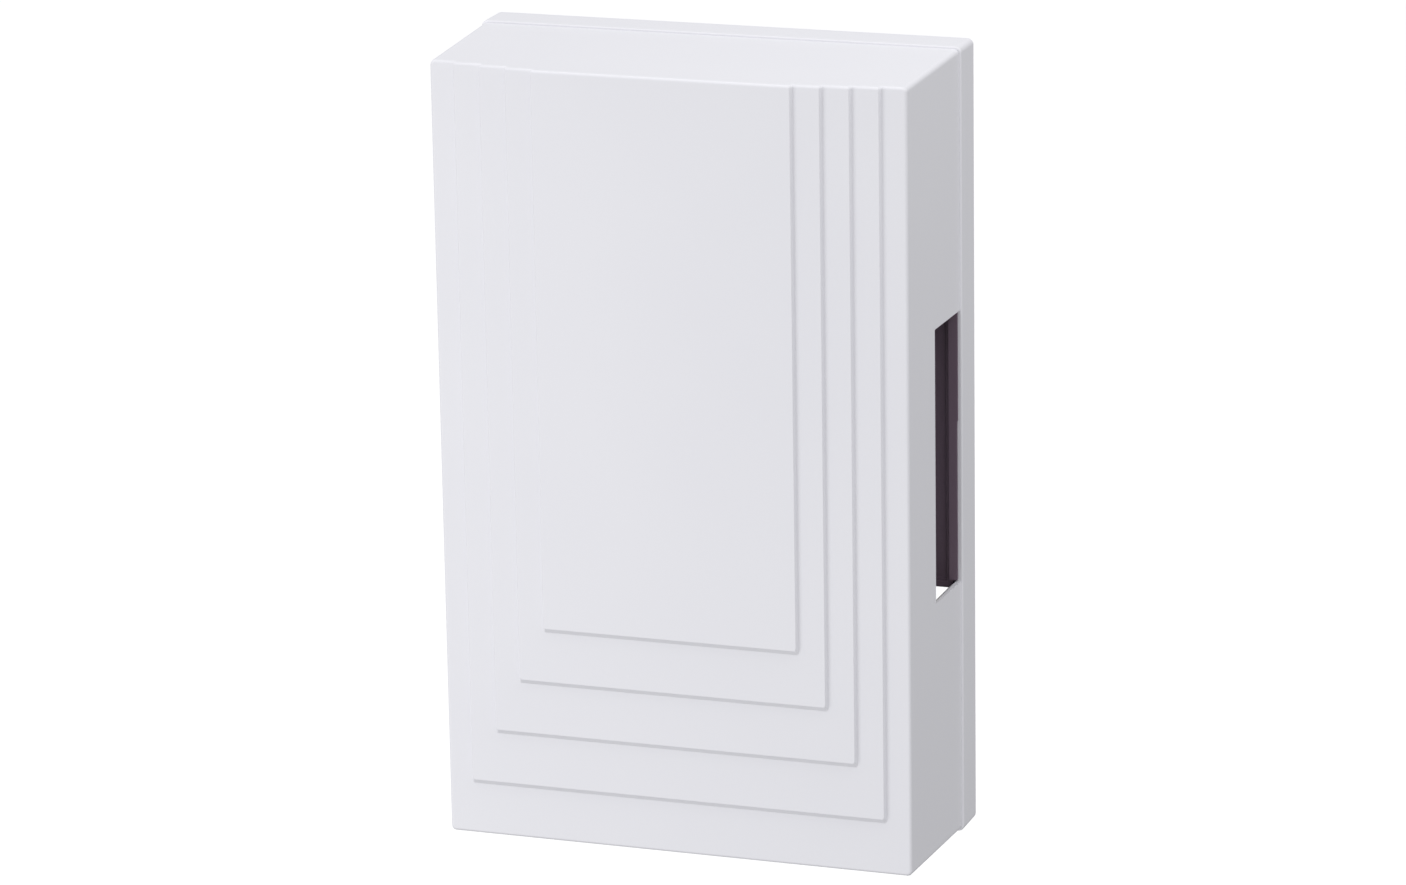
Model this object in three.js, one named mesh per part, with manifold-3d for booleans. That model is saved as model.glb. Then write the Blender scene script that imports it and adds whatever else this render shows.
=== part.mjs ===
// Two-tone mechanical door chime for a wall: a moulded cover, a tray that is screwed to the wall, and between
// them a chassis with a solenoid whose plunger strikes a tone bar on each side.
// Millimetres. X is to the right, Y runs back into the wall, Z is up. The wall face of the tray is Y = 0.

import * as THREE from 'three';
import { mergeVertices } from 'three/addons/utils/BufferGeometryUtils.js';
import Module from 'manifold-3d';

const wasm = await Module();
wasm.setup();

// ---- Driving dimensions -------------------------------------------------------------------------

const GAP = 0.3;                    // clearance kept between pieces that touch on the real chime

// Tray (rear base)
const BASE_W = 84;
const BASE_H = 136;
const BASE_DEPTH = 7.8;
const FLOOR = 2.2;
const RIM = 1.2;
const BASE_R = 1.0;                 // radius of the vertical corner edges
const BASE_CHAMFER = 0.6;

// Cover
const PROUD = 0.35;                 // how far the tray stands out past the cover, all round
const COVER_DEPTH = 26.7;           // from the parting line to the outermost flat frame of the front
const DRAFT = 0.75 / COVER_DEPTH;   // taper of the cover's walls per millimetre of depth
const WALL = 2.0;
const COVER_R = 0.8;

// Raised front: four U-shaped terraces, one on another, all open at the top edge
const STEP = 0.75;
const STEPS = 4;
const FIRST_SIDE = 4.2;
const SIDE_PITCH = 4.75;
const FIRST_BOTTOM = 8.95;
const BOTTOM_PITCH = 9.55;
const STEP_R = 0.9;
const STEP_SLOPE = 0.45;            // how far a terrace's wall leans inward over its height

// Sound slots in the cover's sides, open to the parting line
const SLOT_H = 47;
const SLOT_DEPTH = 13.2;
const SLOT_EDGE = 0.6;              // wall left at the slot's edge, in front of the inside chamfer
const SLOT_FLARE = 1.8;

// Heights of the parting line, the floor and the chassis over the wall (as Y, so negative)
const PART_Y = -BASE_DEPTH;
const FRAME_Y = PART_Y - COVER_DEPTH;
const FRONT_Y = FRAME_Y - STEP * STEPS;
const CHASSIS_BACK = -4.8;
const CHASSIS_T = 1.8;
const CHASSIS_TOP = CHASSIS_BACK - CHASSIS_T;

// Striking mechanism
const AXIS_Y = -19;                 // height of the plunger's axis over the wall
const BAR_IN = 32;                  // inner face of each tone bar, from the middle
const BAR_T = 2.5;
const BAR_W = 20;
const BAR_LENGTH = { left: 92, right: 84 };
const NODE_RATIO = 0.224;           // a free bar is still at this share of its length from each end
const BAR_HOLE_R = 3.5;
const PEG_R = 1.6;
const STRIKE_RIGHT = 4.5;           // plunger travel from rest to the right bar
const STRIKE_LEFT = 1.4;

const YOKE_HALF = 17;               // inside half-length of the steel yoke
const YOKE_T = 1.5;
const YOKE_HALF_W = 10.5;
const YOKE_BACK = -6.9;
const YOKE_FLOOR = -8.3;
const YOKE_FRONT = -30.5;
const BOBBIN_FLANGE_R = 10.2;
const TUBE_R = 4.6;
const TUBE_BORE = 4.1;
const TUBE_HALF = 19.8;
const CORE_R = 3.8;

const SCREW_SHANK = 1.2;
const SCREW_BORE = SCREW_SHANK + GAP;

// ---- Materials ----------------------------------------------------------------------------------

const plastic = (color, roughness) => new THREE.MeshStandardMaterial({ color, roughness, metalness: 0 });
const metal = (color, roughness) => new THREE.MeshStandardMaterial({ color, roughness, metalness: 1 });

const WHITE_ABS = plastic(0xe9e9ec, 0.38);
const GREY_MOULDING = plastic(0x4a4649, 0.6);
const BLACK_RUBBER = plastic(0x1d1c1e, 0.85);
const NYLON = plastic(0xe8e2d2, 0.5);
const BOBBIN_NYLON = plastic(0x2c2b2e, 0.5);
const LEAD_RED = plastic(0xa32a24, 0.45);
const TERMINAL_IVORY = plastic(0xd9d4c4, 0.5);
const TONE_STEEL = metal(0xb4b6b8, 0.3);
const ZINC_STEEL = metal(0xc2c3c0, 0.38);
const COPPER = metal(0xb4572c, 0.35);
const BRASS = metal(0xc5a25a, 0.3);

// ---- Solids: closed geometry in, booleans with manifold -----------------------------------------

function solid(geometry) {
  const bare = geometry.clone();
  bare.deleteAttribute('normal');
  bare.deleteAttribute('uv');
  const merged = mergeVertices(bare, 1e-4);
  return new wasm.Manifold(new wasm.Mesh({
    numProp: 3,
    vertProperties: Float32Array.from(merged.attributes.position.array),
    triVerts: Uint32Array.from(merged.index.array),
  }));
}

function geometryOf(body) {
  const { vertProperties, triVerts, numProp } = body.getMesh();
  const positions = new Float32Array(triVerts.length * 3);
  triVerts.forEach((vertex, i) => {
    for (let k = 0; k < 3; k += 1) positions[3 * i + k] = vertProperties[numProp * vertex + k];
  });
  const geometry = new THREE.BufferGeometry();
  geometry.setAttribute('position', new THREE.BufferAttribute(positions, 3));
  geometry.computeVertexNormals();
  return geometry;
}

const union = (...bodies) => bodies.flat().reduce((all, body) => all.add(body));
const cut = (body, ...tools) => tools.flat().reduce((rest, tool) => rest.subtract(tool), body);

// A box from its lowest to its highest corner.
function block(x0, x1, y0, y1, z0, z1) {
  const geometry = new THREE.BoxGeometry(x1 - x0, y1 - y0, z1 - z0);
  return solid(geometry.translate((x0 + x1) / 2, (y0 + y1) / 2, (z0 + z1) / 2));
}

// A round bar along X or Y, from one end to the other.
function rod(axis, from, to, radius, [u, v], sides = 20) {
  const geometry = new THREE.CylinderGeometry(radius, radius, to - from, sides);
  const middle = (from + to) / 2;
  if (axis === 'x') geometry.rotateZ(Math.PI / 2).translate(middle, u, v);
  else geometry.translate(u, middle, v);
  return solid(geometry);
}

// A turned solid about an axis along X at (y, z): the profile lists [x, radius] and closes on itself.
function turned(profile, y, z, sides = 24) {
  const points = profile.map(([x, r]) => new THREE.Vector2(r, x));
  const onAxis = profile[0][1] === 0;
  if (!onAxis) points.push(points[0].clone());
  const geometry = new THREE.LatheGeometry(points, sides);
  geometry.rotateZ(-Math.PI / 2).translate(0, y, z);
  return solid(geometry);
}

// The outline of a rectangle with round corners, as points in the X-Z plane.
function roundedRectangle(x0, x1, z0, z1, r, segments = 4) {
  const points = [];
  const corners = [[x1 - r, z1 - r, 0], [x0 + r, z1 - r, 1], [x0 + r, z0 + r, 2], [x1 - r, z0 + r, 3]];
  for (const [x, z, quarter] of corners) {
    for (let i = 0; i <= segments; i += 1) {
      const angle = (quarter + i / segments) * Math.PI / 2;
      points.push([x + r * Math.cos(angle), z + r * Math.sin(angle)]);
    }
  }
  return points;
}

// A solid through rings of points that lie at increasing Y, each ring a list of [x, z] with the same count.
function loft(rings) {
  const count = rings[0].points.length;
  const vertices = rings.flatMap(({ y, points }) => points.map(([x, z]) => [x, y, z]));
  const faces = [];
  for (let ring = 0; ring + 1 < rings.length; ring += 1) {
    for (let i = 0; i < count; i += 1) {
      const a = ring * count + i;
      const b = ring * count + (i + 1) % count;
      faces.push([a, a + count, b], [b, a + count, b + count]);
    }
  }
  const last = (rings.length - 1) * count;
  for (let i = 1; i + 1 < count; i += 1) {
    faces.push([0, i, i + 1], [last, last + i + 1, last + i]);
  }
  const geometry = new THREE.BufferGeometry();
  geometry.setAttribute('position', new THREE.Float32BufferAttribute(vertices.flat(), 3));
  geometry.setIndex(faces.flat());
  return solid(geometry);
}

// A prism of an X-Z outline between two heights.
const prism = (points, y0, y1) => loft([{ y: y0, points }, { y: y1, points }]);

const rectangle = (halfW, halfH, r) => roundedRectangle(-halfW, halfW, -halfH, halfH, r);

// Half sizes of the cover's outside at a height.
const coverHalfW = (y) => BASE_W / 2 - PROUD - DRAFT * (PART_Y - y);
const coverHalfH = (y) => BASE_H / 2 - PROUD - DRAFT * (PART_Y - y);

const group = new THREE.Group();

function place(name, body, material) {
  const mesh = new THREE.Mesh(geometryOf(body), material);
  mesh.name = name;
  group.add(mesh);
}

const SIDES = [['left', -1], ['right', 1]];
const mirrored = (sign, low, high) => (sign > 0 ? [low, high] : [-high, -low]);

// ---- Tray: floor, thin rim, standing tabs for the cover, screw bosses, keyhole, cable entry -----

const PORT = { x0: 31, x1: 39, z0: -46, z1: -27.3 };
const TAB_T = 1.25;
const TAB_TOP = PART_Y - 3;
const TAB_OUT_X = BASE_W / 2 - PROUD - WALL - GAP;
const TAB_OUT_Z = BASE_H / 2 - PROUD - WALL - GAP;
const CHASSIS_SCREWS = [[-22, 38], [22, 38], [-22, -42], [22, -42]];
const KEYHOLE = { z: 51, headR: 4.2, shankR: 2.2, rise: 10 };
const CABLE = { halfW: 8, z0: -61, z1: -51 };
const LOWER_SLOT = { x: 25, z: -57, halfLength: 4, r: 2.2 };

function rearBase() {
  const halfW = BASE_W / 2;
  const halfH = BASE_H / 2;
  const outside = loft([
    { y: PART_Y, points: rectangle(halfW, halfH, BASE_R) },
    { y: -BASE_CHAMFER, points: rectangle(halfW, halfH, BASE_R) },
    { y: 0, points: rectangle(halfW - BASE_CHAMFER, halfH - BASE_CHAMFER, BASE_R - BASE_CHAMFER) },
  ]);
  const hollow = prism(rectangle(halfW - RIM, halfH - RIM, BASE_R - RIM / 2), PART_Y - 1, -FLOOR);
  const tray = cut(outside, hollow);

  const rootY = -FLOOR + 1;
  const tabs = [];
  for (const sign of [-1, 1]) {
    const [x0, x1] = mirrored(sign, TAB_OUT_X - TAB_T, TAB_OUT_X);
    const [z0, z1] = mirrored(sign, TAB_OUT_Z - TAB_T, TAB_OUT_Z);
    for (const end of [-1, 1]) {
      tabs.push(block(x0, x1, TAB_TOP, rootY, ...mirrored(end, 50, 62)));
      tabs.push(block(...mirrored(end, 14, 30), TAB_TOP, rootY, z0, z1));
    }
  }
  const bosses = CHASSIS_SCREWS.map(([x, z]) => rod('y', CHASSIS_BACK + GAP, rootY, 3.4, [x, z]));
  const lip = 1.4;
  const collarOutline = roundedRectangle(-CABLE.halfW - lip, CABLE.halfW + lip, CABLE.z0 - lip, CABLE.z1 + lip, 3);
  const collar = prism(collarOutline, -FLOOR - 1.6, rootY);
  const ribs = [-16, 16].map((x) => block(x - 0.6, x + 0.6, -FLOOR - 1.2, rootY, -34, 44));

  const screwBores = CHASSIS_SCREWS.map(([x, z]) => rod('y', CHASSIS_BACK - 1, -0.9, SCREW_BORE, [x, z], 12));
  const through = [
    ...[-1, 1].map((sign) => prism(
      roundedRectangle(...mirrored(sign, PORT.x0, PORT.x1), PORT.z0, PORT.z1, 0.8, 2), -20, 1)),
    prism(roundedRectangle(-CABLE.halfW, CABLE.halfW, CABLE.z0, CABLE.z1, 2), -20, 1),
    rod('y', -20, 1, KEYHOLE.headR, [0, KEYHOLE.z], 32),
    prism(roundedRectangle(-KEYHOLE.shankR, KEYHOLE.shankR, KEYHOLE.z, KEYHOLE.z + KEYHOLE.rise,
      KEYHOLE.shankR - 0.01), -20, 1),
    ...[-1, 1].map((sign) => prism(roundedRectangle(
      sign * LOWER_SLOT.x - LOWER_SLOT.halfLength, sign * LOWER_SLOT.x + LOWER_SLOT.halfLength,
      LOWER_SLOT.z - LOWER_SLOT.r, LOWER_SLOT.z + LOWER_SLOT.r, LOWER_SLOT.r - 0.01), -20, 1)),
  ];
  return cut(union(tray, tabs, bosses, collar, ribs), screwBores, through);
}

// ---- Cover: drafted shell, terraced front inside and out, a flared slot in each side ------------

// The stack of terraces, grown inward by an inset on the three closed sides and ended at topZ.
function terraces(inset, lift, topZ, rootY) {
  const outerW = coverHalfW(FRAME_Y);
  const outerH = coverHalfH(FRAME_Y);
  const stack = [];
  for (let i = 0; i < STEPS; i += 1) {
    const halfW = outerW - FIRST_SIDE - SIDE_PITCH * i - inset;
    const bottom = -outerH + FIRST_BOTTOM + BOTTOM_PITCH * i + inset;
    const crestY = FRAME_Y + lift - STEP * (i + 1);
    stack.push(loft([
      { y: crestY, points: uOutline(halfW - STEP_SLOPE, bottom + STEP_SLOPE, topZ) },
      { y: crestY + STEP, points: uOutline(halfW, bottom, topZ) },
      { y: rootY, points: uOutline(halfW, bottom, topZ) },
    ]));
  }
  return union(stack);
}

// One terrace's outline: square at the top, round at its two lower corners.
function uOutline(halfW, bottom, top, segments = 4) {
  const points = [[halfW, top], [-halfW, top]];
  for (const [x, start] of [[-halfW + STEP_R, 2], [halfW - STEP_R, 3]]) {
    for (let i = 0; i <= segments; i += 1) {
      const angle = (start + i / segments) * Math.PI / 2;
      points.push([x + STEP_R * Math.cos(angle), bottom + STEP_R + STEP_R * Math.sin(angle)]);
    }
  }
  return points;
}

// The hole of one sound slot: straight through the thin edge, then flared towards the inside.
function soundSlot(sign) {
  const face = coverHalfW(PART_Y - SLOT_DEPTH / 2);
  const frontY = PART_Y - SLOT_DEPTH;
  const section = [
    [face + 2, 0],
    [face - SLOT_EDGE, 0],
    [face - WALL - 0.4, SLOT_FLARE],
  ];
  const vertices = section.flatMap(([x, flare]) => {
    const z = SLOT_H / 2 + flare;
    return [[x, frontY - flare, -z], [x, PART_Y + 2, -z], [x, PART_Y + 2, z], [x, frontY - flare, z]];
  });
  const faces = [[0, 1, 2], [0, 2, 3], [8, 10, 9], [8, 11, 10]];
  for (const ring of [0, 4]) {
    for (let i = 0; i < 4; i += 1) {
      const a = ring + i;
      const b = ring + (i + 1) % 4;
      faces.push([a, a + 4, b], [b, a + 4, b + 4]);
    }
  }
  const geometry = new THREE.BufferGeometry();
  geometry.setAttribute('position', new THREE.Float32BufferAttribute(vertices.flat(), 3));
  geometry.setIndex(faces.flat());
  if (sign < 0) geometry.rotateY(Math.PI);
  return solid(geometry);
}

function frontCover() {
  const ring = (y, inset, r) => ({ y, points: rectangle(coverHalfW(y) - inset, coverHalfH(y) - inset, r) });
  const envelope = loft([ring(FRONT_Y - 1, 0, COVER_R), ring(PART_Y, 0, COVER_R)]);
  const body = loft([ring(FRAME_Y, 0, COVER_R), ring(PART_Y, 0, COVER_R)]);
  const above = coverHalfH(FRAME_Y) + 3;
  const outside = body.add(terraces(0, 0, above, FRAME_Y + 1)).intersect(envelope);
  const inside = loft([ring(FRAME_Y + WALL, WALL, 0.6), ring(PART_Y + 1, WALL, 0.6)]);
  const innerTop = coverHalfH(FRONT_Y + WALL) - WALL;
  const hollow = inside.add(terraces(WALL, WALL, innerTop, FRAME_Y + WALL + 1));
  return cut(outside, hollow, SIDES.map(([, sign]) => soundSlot(sign)));
}

// ---- Chassis: the dark moulding that carries the mechanism --------------------------------------

const CHASSIS = {
  top: 44,
  waistTop: 25.5,
  waistBottom: -25.4,
  bottom: -48,
  halfW: 37.4,
  wingW: 40.2,
  lowW: 30.6,
};
const POST = { x0: 26.4, x1: 30.4, halfW: 3.8 };
const YOKE_SCREW_Z = 15;
const BLOCK = { z0: -46, z1: -36, halfW: 12.5, earW: 17.5, y0: -16.5, y1: CHASSIS_TOP - GAP };
const BLOCK_SCREW_X = 15;
const BLOCK_MID_Z = (BLOCK.z0 + BLOCK.z1) / 2;

const nodeZ = (side) => BAR_LENGTH[side] * (0.5 - NODE_RATIO);

function chassis() {
  const c = CHASSIS;
  const right = [
    [c.lowW, c.bottom], [c.lowW, c.waistBottom], [c.wingW, c.waistBottom], [c.wingW, c.waistTop],
    [c.halfW, c.waistTop], [c.halfW, c.top],
  ];
  const outline = [...right, ...right.map(([x, z]) => [-x, z]).reverse()];
  const shape = new THREE.Shape(outline.map(([x, z]) => new THREE.Vector2(x, z)));
  const sheet = new THREE.ExtrudeGeometry(shape, { depth: CHASSIS_T, bevelEnabled: false });
  const plate = solid(sheet.rotateX(Math.PI / 2).translate(0, CHASSIS_BACK, 0));

  const posts = SIDES.flatMap(([side, sign]) => [-1, 1].map((end) => {
    const z = end * nodeZ(side);
    const [x0, x1] = mirrored(sign, POST.x0, POST.x1);
    const upright = block(x0, x1, AXIS_Y - POST.halfW, CHASSIS_TOP + 0.5, z - POST.halfW, z + POST.halfW);
    const gusset = block(...mirrored(sign, POST.x0 - 4, POST.x0 + 0.5), CHASSIS_TOP - 6, CHASSIS_TOP + 0.5,
      z - 0.8, z + 0.8);
    const peg = rod('x', ...mirrored(sign, POST.x1 - 0.5, BAR_IN + 5.2), PEG_R, [AXIS_Y, z], 16);
    return union(upright, gusset, peg);
  }));
  const yokeBosses = [-1, 1].map((end) => rod('y', CHASSIS_BACK - 0.5, -3, 3, [0, end * YOKE_SCREW_Z], 20));
  const blockBosses = [-1, 1].map((end) =>
    rod('y', CHASSIS_BACK - 0.5, -3, 3, [end * BLOCK_SCREW_X, BLOCK_MID_Z], 20));
  const stops = [-1, 1].map((end) => block(-9, 9, CHASSIS_TOP - 1.2, CHASSIS_TOP + 0.5,
    ...mirrored(end, YOKE_HALF_W + 8, YOKE_HALF_W + 9.2)));

  const holes = [
    ...CHASSIS_SCREWS.map(([x, z]) => [x, z]),
    ...[-1, 1].map((end) => [0, end * YOKE_SCREW_Z]),
    ...[-1, 1].map((end) => [end * BLOCK_SCREW_X, BLOCK_MID_Z]),
  ].map(([x, z]) => rod('y', -12, 0, SCREW_BORE, [x, z], 12));
  return cut(union(plate, posts, yokeBosses, blockBosses, stops), holes);
}

// ---- Tone bars with their grommets and push-on caps ---------------------------------------------

function toneBar(side, sign) {
  const half = BAR_LENGTH[side] / 2;
  const [x0, x1] = mirrored(sign, BAR_IN, BAR_IN + BAR_T);
  const holes = [-1, 1].map((end) => rod('x', x0 - 1, x1 + 1, BAR_HOLE_R, [AXIS_Y, end * nodeZ(side)]));
  return cut(block(x0, x1, AXIS_Y - BAR_W / 2, AXIS_Y + BAR_W / 2, -half, half), holes);
}

function grommet(side, sign, end) {
  const inner = BAR_IN - GAP;
  const outer = BAR_IN + BAR_T + GAP;
  const bore = PEG_R + GAP;
  const profile = [
    [inner - 1, bore], [inner - 1, 4.8], [inner, 4.8], [inner, BAR_HOLE_R - GAP],
    [outer, BAR_HOLE_R - GAP], [outer, 4.8], [outer + 1, 4.8], [outer + 1, bore],
  ];
  const along = sign > 0 ? profile : profile.map(([x, r]) => [-x, r]).reverse();
  return turned(along, AXIS_Y, end * nodeZ(side), 16);
}

function pegCap(side, sign, end) {
  const start = BAR_IN + BAR_T + 2 * GAP + 1;
  const z = end * nodeZ(side);
  const disc = rod('x', ...mirrored(sign, start, start + 2.1), 4, [AXIS_Y, z], 20);
  const socket = rod('x', ...mirrored(sign, start - 1, start + 1.5), PEG_R + GAP, [AXIS_Y, z], 16);
  return cut(disc, socket);
}

// ---- Solenoid: yoke, keeper, bobbin, winding, guide tube ----------------------------------------

function yokeFrame() {
  const outerX = YOKE_HALF + YOKE_T;
  const back = block(-outerX, outerX, YOKE_FLOOR, YOKE_BACK, -YOKE_HALF_W, YOKE_HALF_W);
  const ears = block(-5, 5, YOKE_FLOOR, YOKE_BACK, -YOKE_SCREW_Z - 3.2, YOKE_SCREW_Z + 3.2);
  const cheeks = SIDES.map(([, sign]) =>
    block(...mirrored(sign, YOKE_HALF, outerX), YOKE_FRONT, YOKE_BACK, -YOKE_HALF_W, YOKE_HALF_W));
  const tubeHole = rod('x', -outerX - 1, outerX + 1, TUBE_R + GAP, [AXIS_Y, 0], 32);
  const earHoles = [-1, 1].map((end) => rod('y', -12, 0, SCREW_BORE, [0, end * YOKE_SCREW_Z], 12));
  return cut(union(back, ears, cheeks), tubeHole, earHoles);
}

function yokeKeeper() {
  const outerX = YOKE_HALF + YOKE_T;
  const top = YOKE_FRONT - GAP;
  const plate = block(-outerX, outerX, top - 1.4, top, -7.5, 7.5);
  const windows = [-1, 1].map((end) => rod('y', top - 3, top + 1, 2.1, [end * 9, 0], 20));
  return cut(plate, windows);
}

function coilBobbin() {
  const end = YOKE_HALF - GAP;
  const inner = end - 1.2;
  const hub = TUBE_R + GAP;
  const spool = turned([
    [-end, hub], [-end, BOBBIN_FLANGE_R], [-inner, BOBBIN_FLANGE_R], [-inner, hub + 0.7],
    [inner, hub + 0.7], [inner, BOBBIN_FLANGE_R], [end, BOBBIN_FLANGE_R], [end, hub],
  ], AXIS_Y, 0, 32);
  const lug = block(inner - 5, end - 0.1, AXIS_Y - 7, AXIS_Y + 7, -11.8, -9);
  const trough = block(inner - 3.8, inner - 1.2, AXIS_Y - 5.4, AXIS_Y + 5.4, -13, -10.4);
  return cut(spool.add(cut(lug, trough)), rod('x', -end - 1, end + 1, hub, [AXIS_Y, 0], 32));
}

function coilWinding() {
  const half = YOKE_HALF - GAP - 1.2 - GAP;
  const hub = TUBE_R + 2 * GAP + 0.7;
  return cut(
    rod('x', -half, half - 5.4, 9.4, [AXIS_Y, 0], 32).add(rod('x', half - 6, half, 8.5, [AXIS_Y, 0], 32)),
    rod('x', -half - 1, half + 1, hub, [AXIS_Y, 0], 32),
  );
}

function guideTube() {
  return cut(rod('x', -TUBE_HALF, TUBE_HALF, TUBE_R, [AXIS_Y, 0], 32),
    rod('x', -TUBE_HALF - 1, TUBE_HALF + 1, TUBE_BORE, [AXIS_Y, 0], 32));
}

// ---- Plunger: steel core, a nylon tip at each end, spring collar, return spring -----------------

const TIP_LEFT_END = -BAR_IN + GAP + STRIKE_LEFT;
const TIP_RIGHT_END = BAR_IN - GAP - STRIKE_RIGHT;
const CORE = { x0: -18, x1: 10 };
const TIP_R = 2.4;
const SPIGOT_R = 1.2;
const SPIGOT = 5;
const COLLAR = { x0: TIP_LEFT_END + 1.9, width: 1.2, r: 6.2 };

function plungerCore() {
  return cut(rod('x', CORE.x0, CORE.x1, CORE_R, [AXIS_Y, 0], 28),
    rod('x', CORE.x0 - 1, CORE.x1 + 1, SPIGOT_R + GAP, [AXIS_Y, 0], 16));
}

// A tip runs from its domed nose to the core's face, with a spigot inside the core.
function strikerTip(sign) {
  const nose = sign < 0 ? -TIP_LEFT_END : TIP_RIGHT_END;
  const face = (sign < 0 ? -CORE.x0 : CORE.x1) + GAP;
  const profile = [
    [face - SPIGOT, 0], [face - SPIGOT, SPIGOT_R], [face, SPIGOT_R], [face, TIP_R],
    [nose - 1.2, TIP_R], [nose - 0.4, TIP_R - 0.5], [nose, TIP_R - 1.4], [nose, 0],
  ];
  const along = sign > 0 ? profile : profile.map(([x, r]) => [-x, r]).reverse();
  return turned(along, AXIS_Y, 0, 24);
}

function springCollar() {
  const x1 = COLLAR.x0 + COLLAR.width;
  const bore = TIP_R + GAP;
  return turned([[COLLAR.x0, bore], [COLLAR.x0, COLLAR.r], [x1, COLLAR.r], [x1, bore]], AXIS_Y, 0, 28);
}

// The spring's envelope: a sleeve from the collar to the yoke's left cheek.
function returnSpring() {
  const x0 = COLLAR.x0 + COLLAR.width + GAP;
  const x1 = -YOKE_HALF - YOKE_T - GAP;
  const inner = TUBE_R + GAP;
  const outer = TUBE_R + 1.2;
  return turned([[x0, inner], [x0, outer], [x1, outer], [x1, inner]], AXIS_Y, 0, 28);
}

// ---- Screws, terminal block, clamp plates, coil leads -------------------------------------------

// A pan-head screw driven along +Y, its head resting just over seatY.
function screw(x, z, seatY, length, headR = 2.7) {
  const under = seatY - GAP;
  const points = [[0, length], [SCREW_SHANK, length - 0.6], [SCREW_SHANK, 0], [headR, 0], [headR, -0.9],
    [headR * 0.72, -1.6], [0, -1.6]].map(([r, y]) => new THREE.Vector2(r, y));
  const body = solid(new THREE.LatheGeometry(points.reverse(), 14).translate(x, under, z));
  const driver = union(block(x - 1.5, x + 1.5, under - 3, under - 0.8, z - 0.3, z + 0.3),
    block(x - 0.3, x + 0.3, under - 3, under - 0.8, z - 1.5, z + 1.5));
  return cut(body, driver);
}

const POLES = [-8, 0, 8];
const WELL = { half: 3.3, y: -13.5 };
const LEAD_R = 0.65;

function terminalBlock() {
  const b = BLOCK;
  const zMid = BLOCK_MID_Z;
  const body = block(-b.halfW, b.halfW, b.y0, b.y1, b.z0, b.z1);
  const ears = block(-b.earW, b.earW, b.y1 - 1.8, b.y1, zMid - 3.2, zMid + 3.2);
  const wells = POLES.map((x) => block(x - WELL.half, x + WELL.half, b.y0 - 1, WELL.y, b.z0 + 1, b.z1 - 1));
  const bores = POLES.map((x) => rod('y', b.y0 - 1, b.y1 - 1.2, SCREW_BORE, [x, zMid], 12));
  const wireWays = POLES.map((x) => block(x - 1.5, x + 1.5, b.y0 - 1, WELL.y, b.z0 - 1, b.z1 + 1));
  const earHoles = [-1, 1].map((end) => rod('y', -12, 0, SCREW_BORE, [end * BLOCK_SCREW_X, zMid], 12));
  return cut(body.add(ears), wells, bores, wireWays, earHoles);
}

function clampPlate(x) {
  const zMid = BLOCK_MID_Z;
  const half = WELL.half - GAP;
  const top = WELL.y - GAP;
  return cut(block(x - half, x + half, top - 0.9, top, zMid - half, zMid + half),
    rod('y', top - 3, top + 1, SCREW_BORE, [x, zMid], 12));
}

// A lead runs from the bobbin's lug down over the chassis and into the block's top wire way.
function coilLead(startY, pole, bow) {
  const startX = 12.3;
  const wayY = WELL.y - 1.15;
  const route = new THREE.CatmullRomCurve3([
    new THREE.Vector3(startX, startY, -12.2),
    new THREE.Vector3(startX, startY + 0.3, -15),
    new THREE.Vector3(startX + bow * 0.4, (startY - 9) / 2, -21),
    new THREE.Vector3((startX + pole) / 2 + bow, -8.6, -27),
    new THREE.Vector3(pole, -11, -32.5),
    new THREE.Vector3(pole, wayY, -35.6),
    new THREE.Vector3(pole, wayY, -37.5),
  ]);
  const section = new THREE.Shape();
  section.absarc(0, 0, LEAD_R, 0, 2 * Math.PI);
  return solid(new THREE.ExtrudeGeometry(section, { steps: 20, extrudePath: route, curveSegments: 4 }));
}

// ---- Assembly -----------------------------------------------------------------------------------

place('rear_base', rearBase(), WHITE_ABS);
place('front_cover', frontCover(), WHITE_ABS);
place('chassis', chassis(), GREY_MOULDING);

for (const [side, sign] of SIDES) {
  place(`tone_bar_${side}`, toneBar(side, sign), TONE_STEEL);
  for (const [level, end] of [['lower', -1], ['upper', 1]]) {
    place(`grommet_${side}_${level}`, grommet(side, sign, end), BLACK_RUBBER);
    place(`peg_cap_${side}_${level}`, pegCap(side, sign, end), NYLON);
  }
}

place('yoke_frame', yokeFrame(), ZINC_STEEL);
place('yoke_keeper', yokeKeeper(), ZINC_STEEL);
place('coil_bobbin', coilBobbin(), BOBBIN_NYLON);
place('coil_winding', coilWinding(), COPPER);
place('guide_tube', guideTube(), BRASS);

place('plunger_core', plungerCore(), ZINC_STEEL);
place('striker_tip_left', strikerTip(-1), NYLON);
place('striker_tip_right', strikerTip(1), NYLON);
place('spring_collar', springCollar(), NYLON);
place('return_spring', returnSpring(), ZINC_STEEL);

place('terminal_block', terminalBlock(), TERMINAL_IVORY);
POLES.forEach((x, i) => {
  const zMid = BLOCK_MID_Z;
  place(`clamp_plate_${i + 1}`, clampPlate(x), BRASS);
  place(`terminal_screw_${i + 1}`, screw(x, zMid, WELL.y - GAP - 0.9, 5.2, 2.4), BRASS);
});

[-1, 1].forEach((end, i) => {
  const zMid = BLOCK_MID_Z;
  place(`block_screw_${i + 1}`, screw(end * BLOCK_SCREW_X, zMid, BLOCK.y1 - 1.8, 5.6, 2.3), ZINC_STEEL);
  place(`yoke_screw_${i + 1}`, screw(0, end * YOKE_SCREW_Z, YOKE_FLOOR, 5.0), ZINC_STEEL);
});
CHASSIS_SCREWS.forEach(([x, z], i) => {
  place(`chassis_screw_${i + 1}`, screw(x, z, CHASSIS_TOP, 5.6), ZINC_STEEL);
});

place('coil_lead_1', coilLead(AXIS_Y + 3, POLES[2], 1.5), LEAD_RED);
place('coil_lead_2', coilLead(AXIS_Y - 3, POLES[1], -1), LEAD_RED);

export default group;
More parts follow.
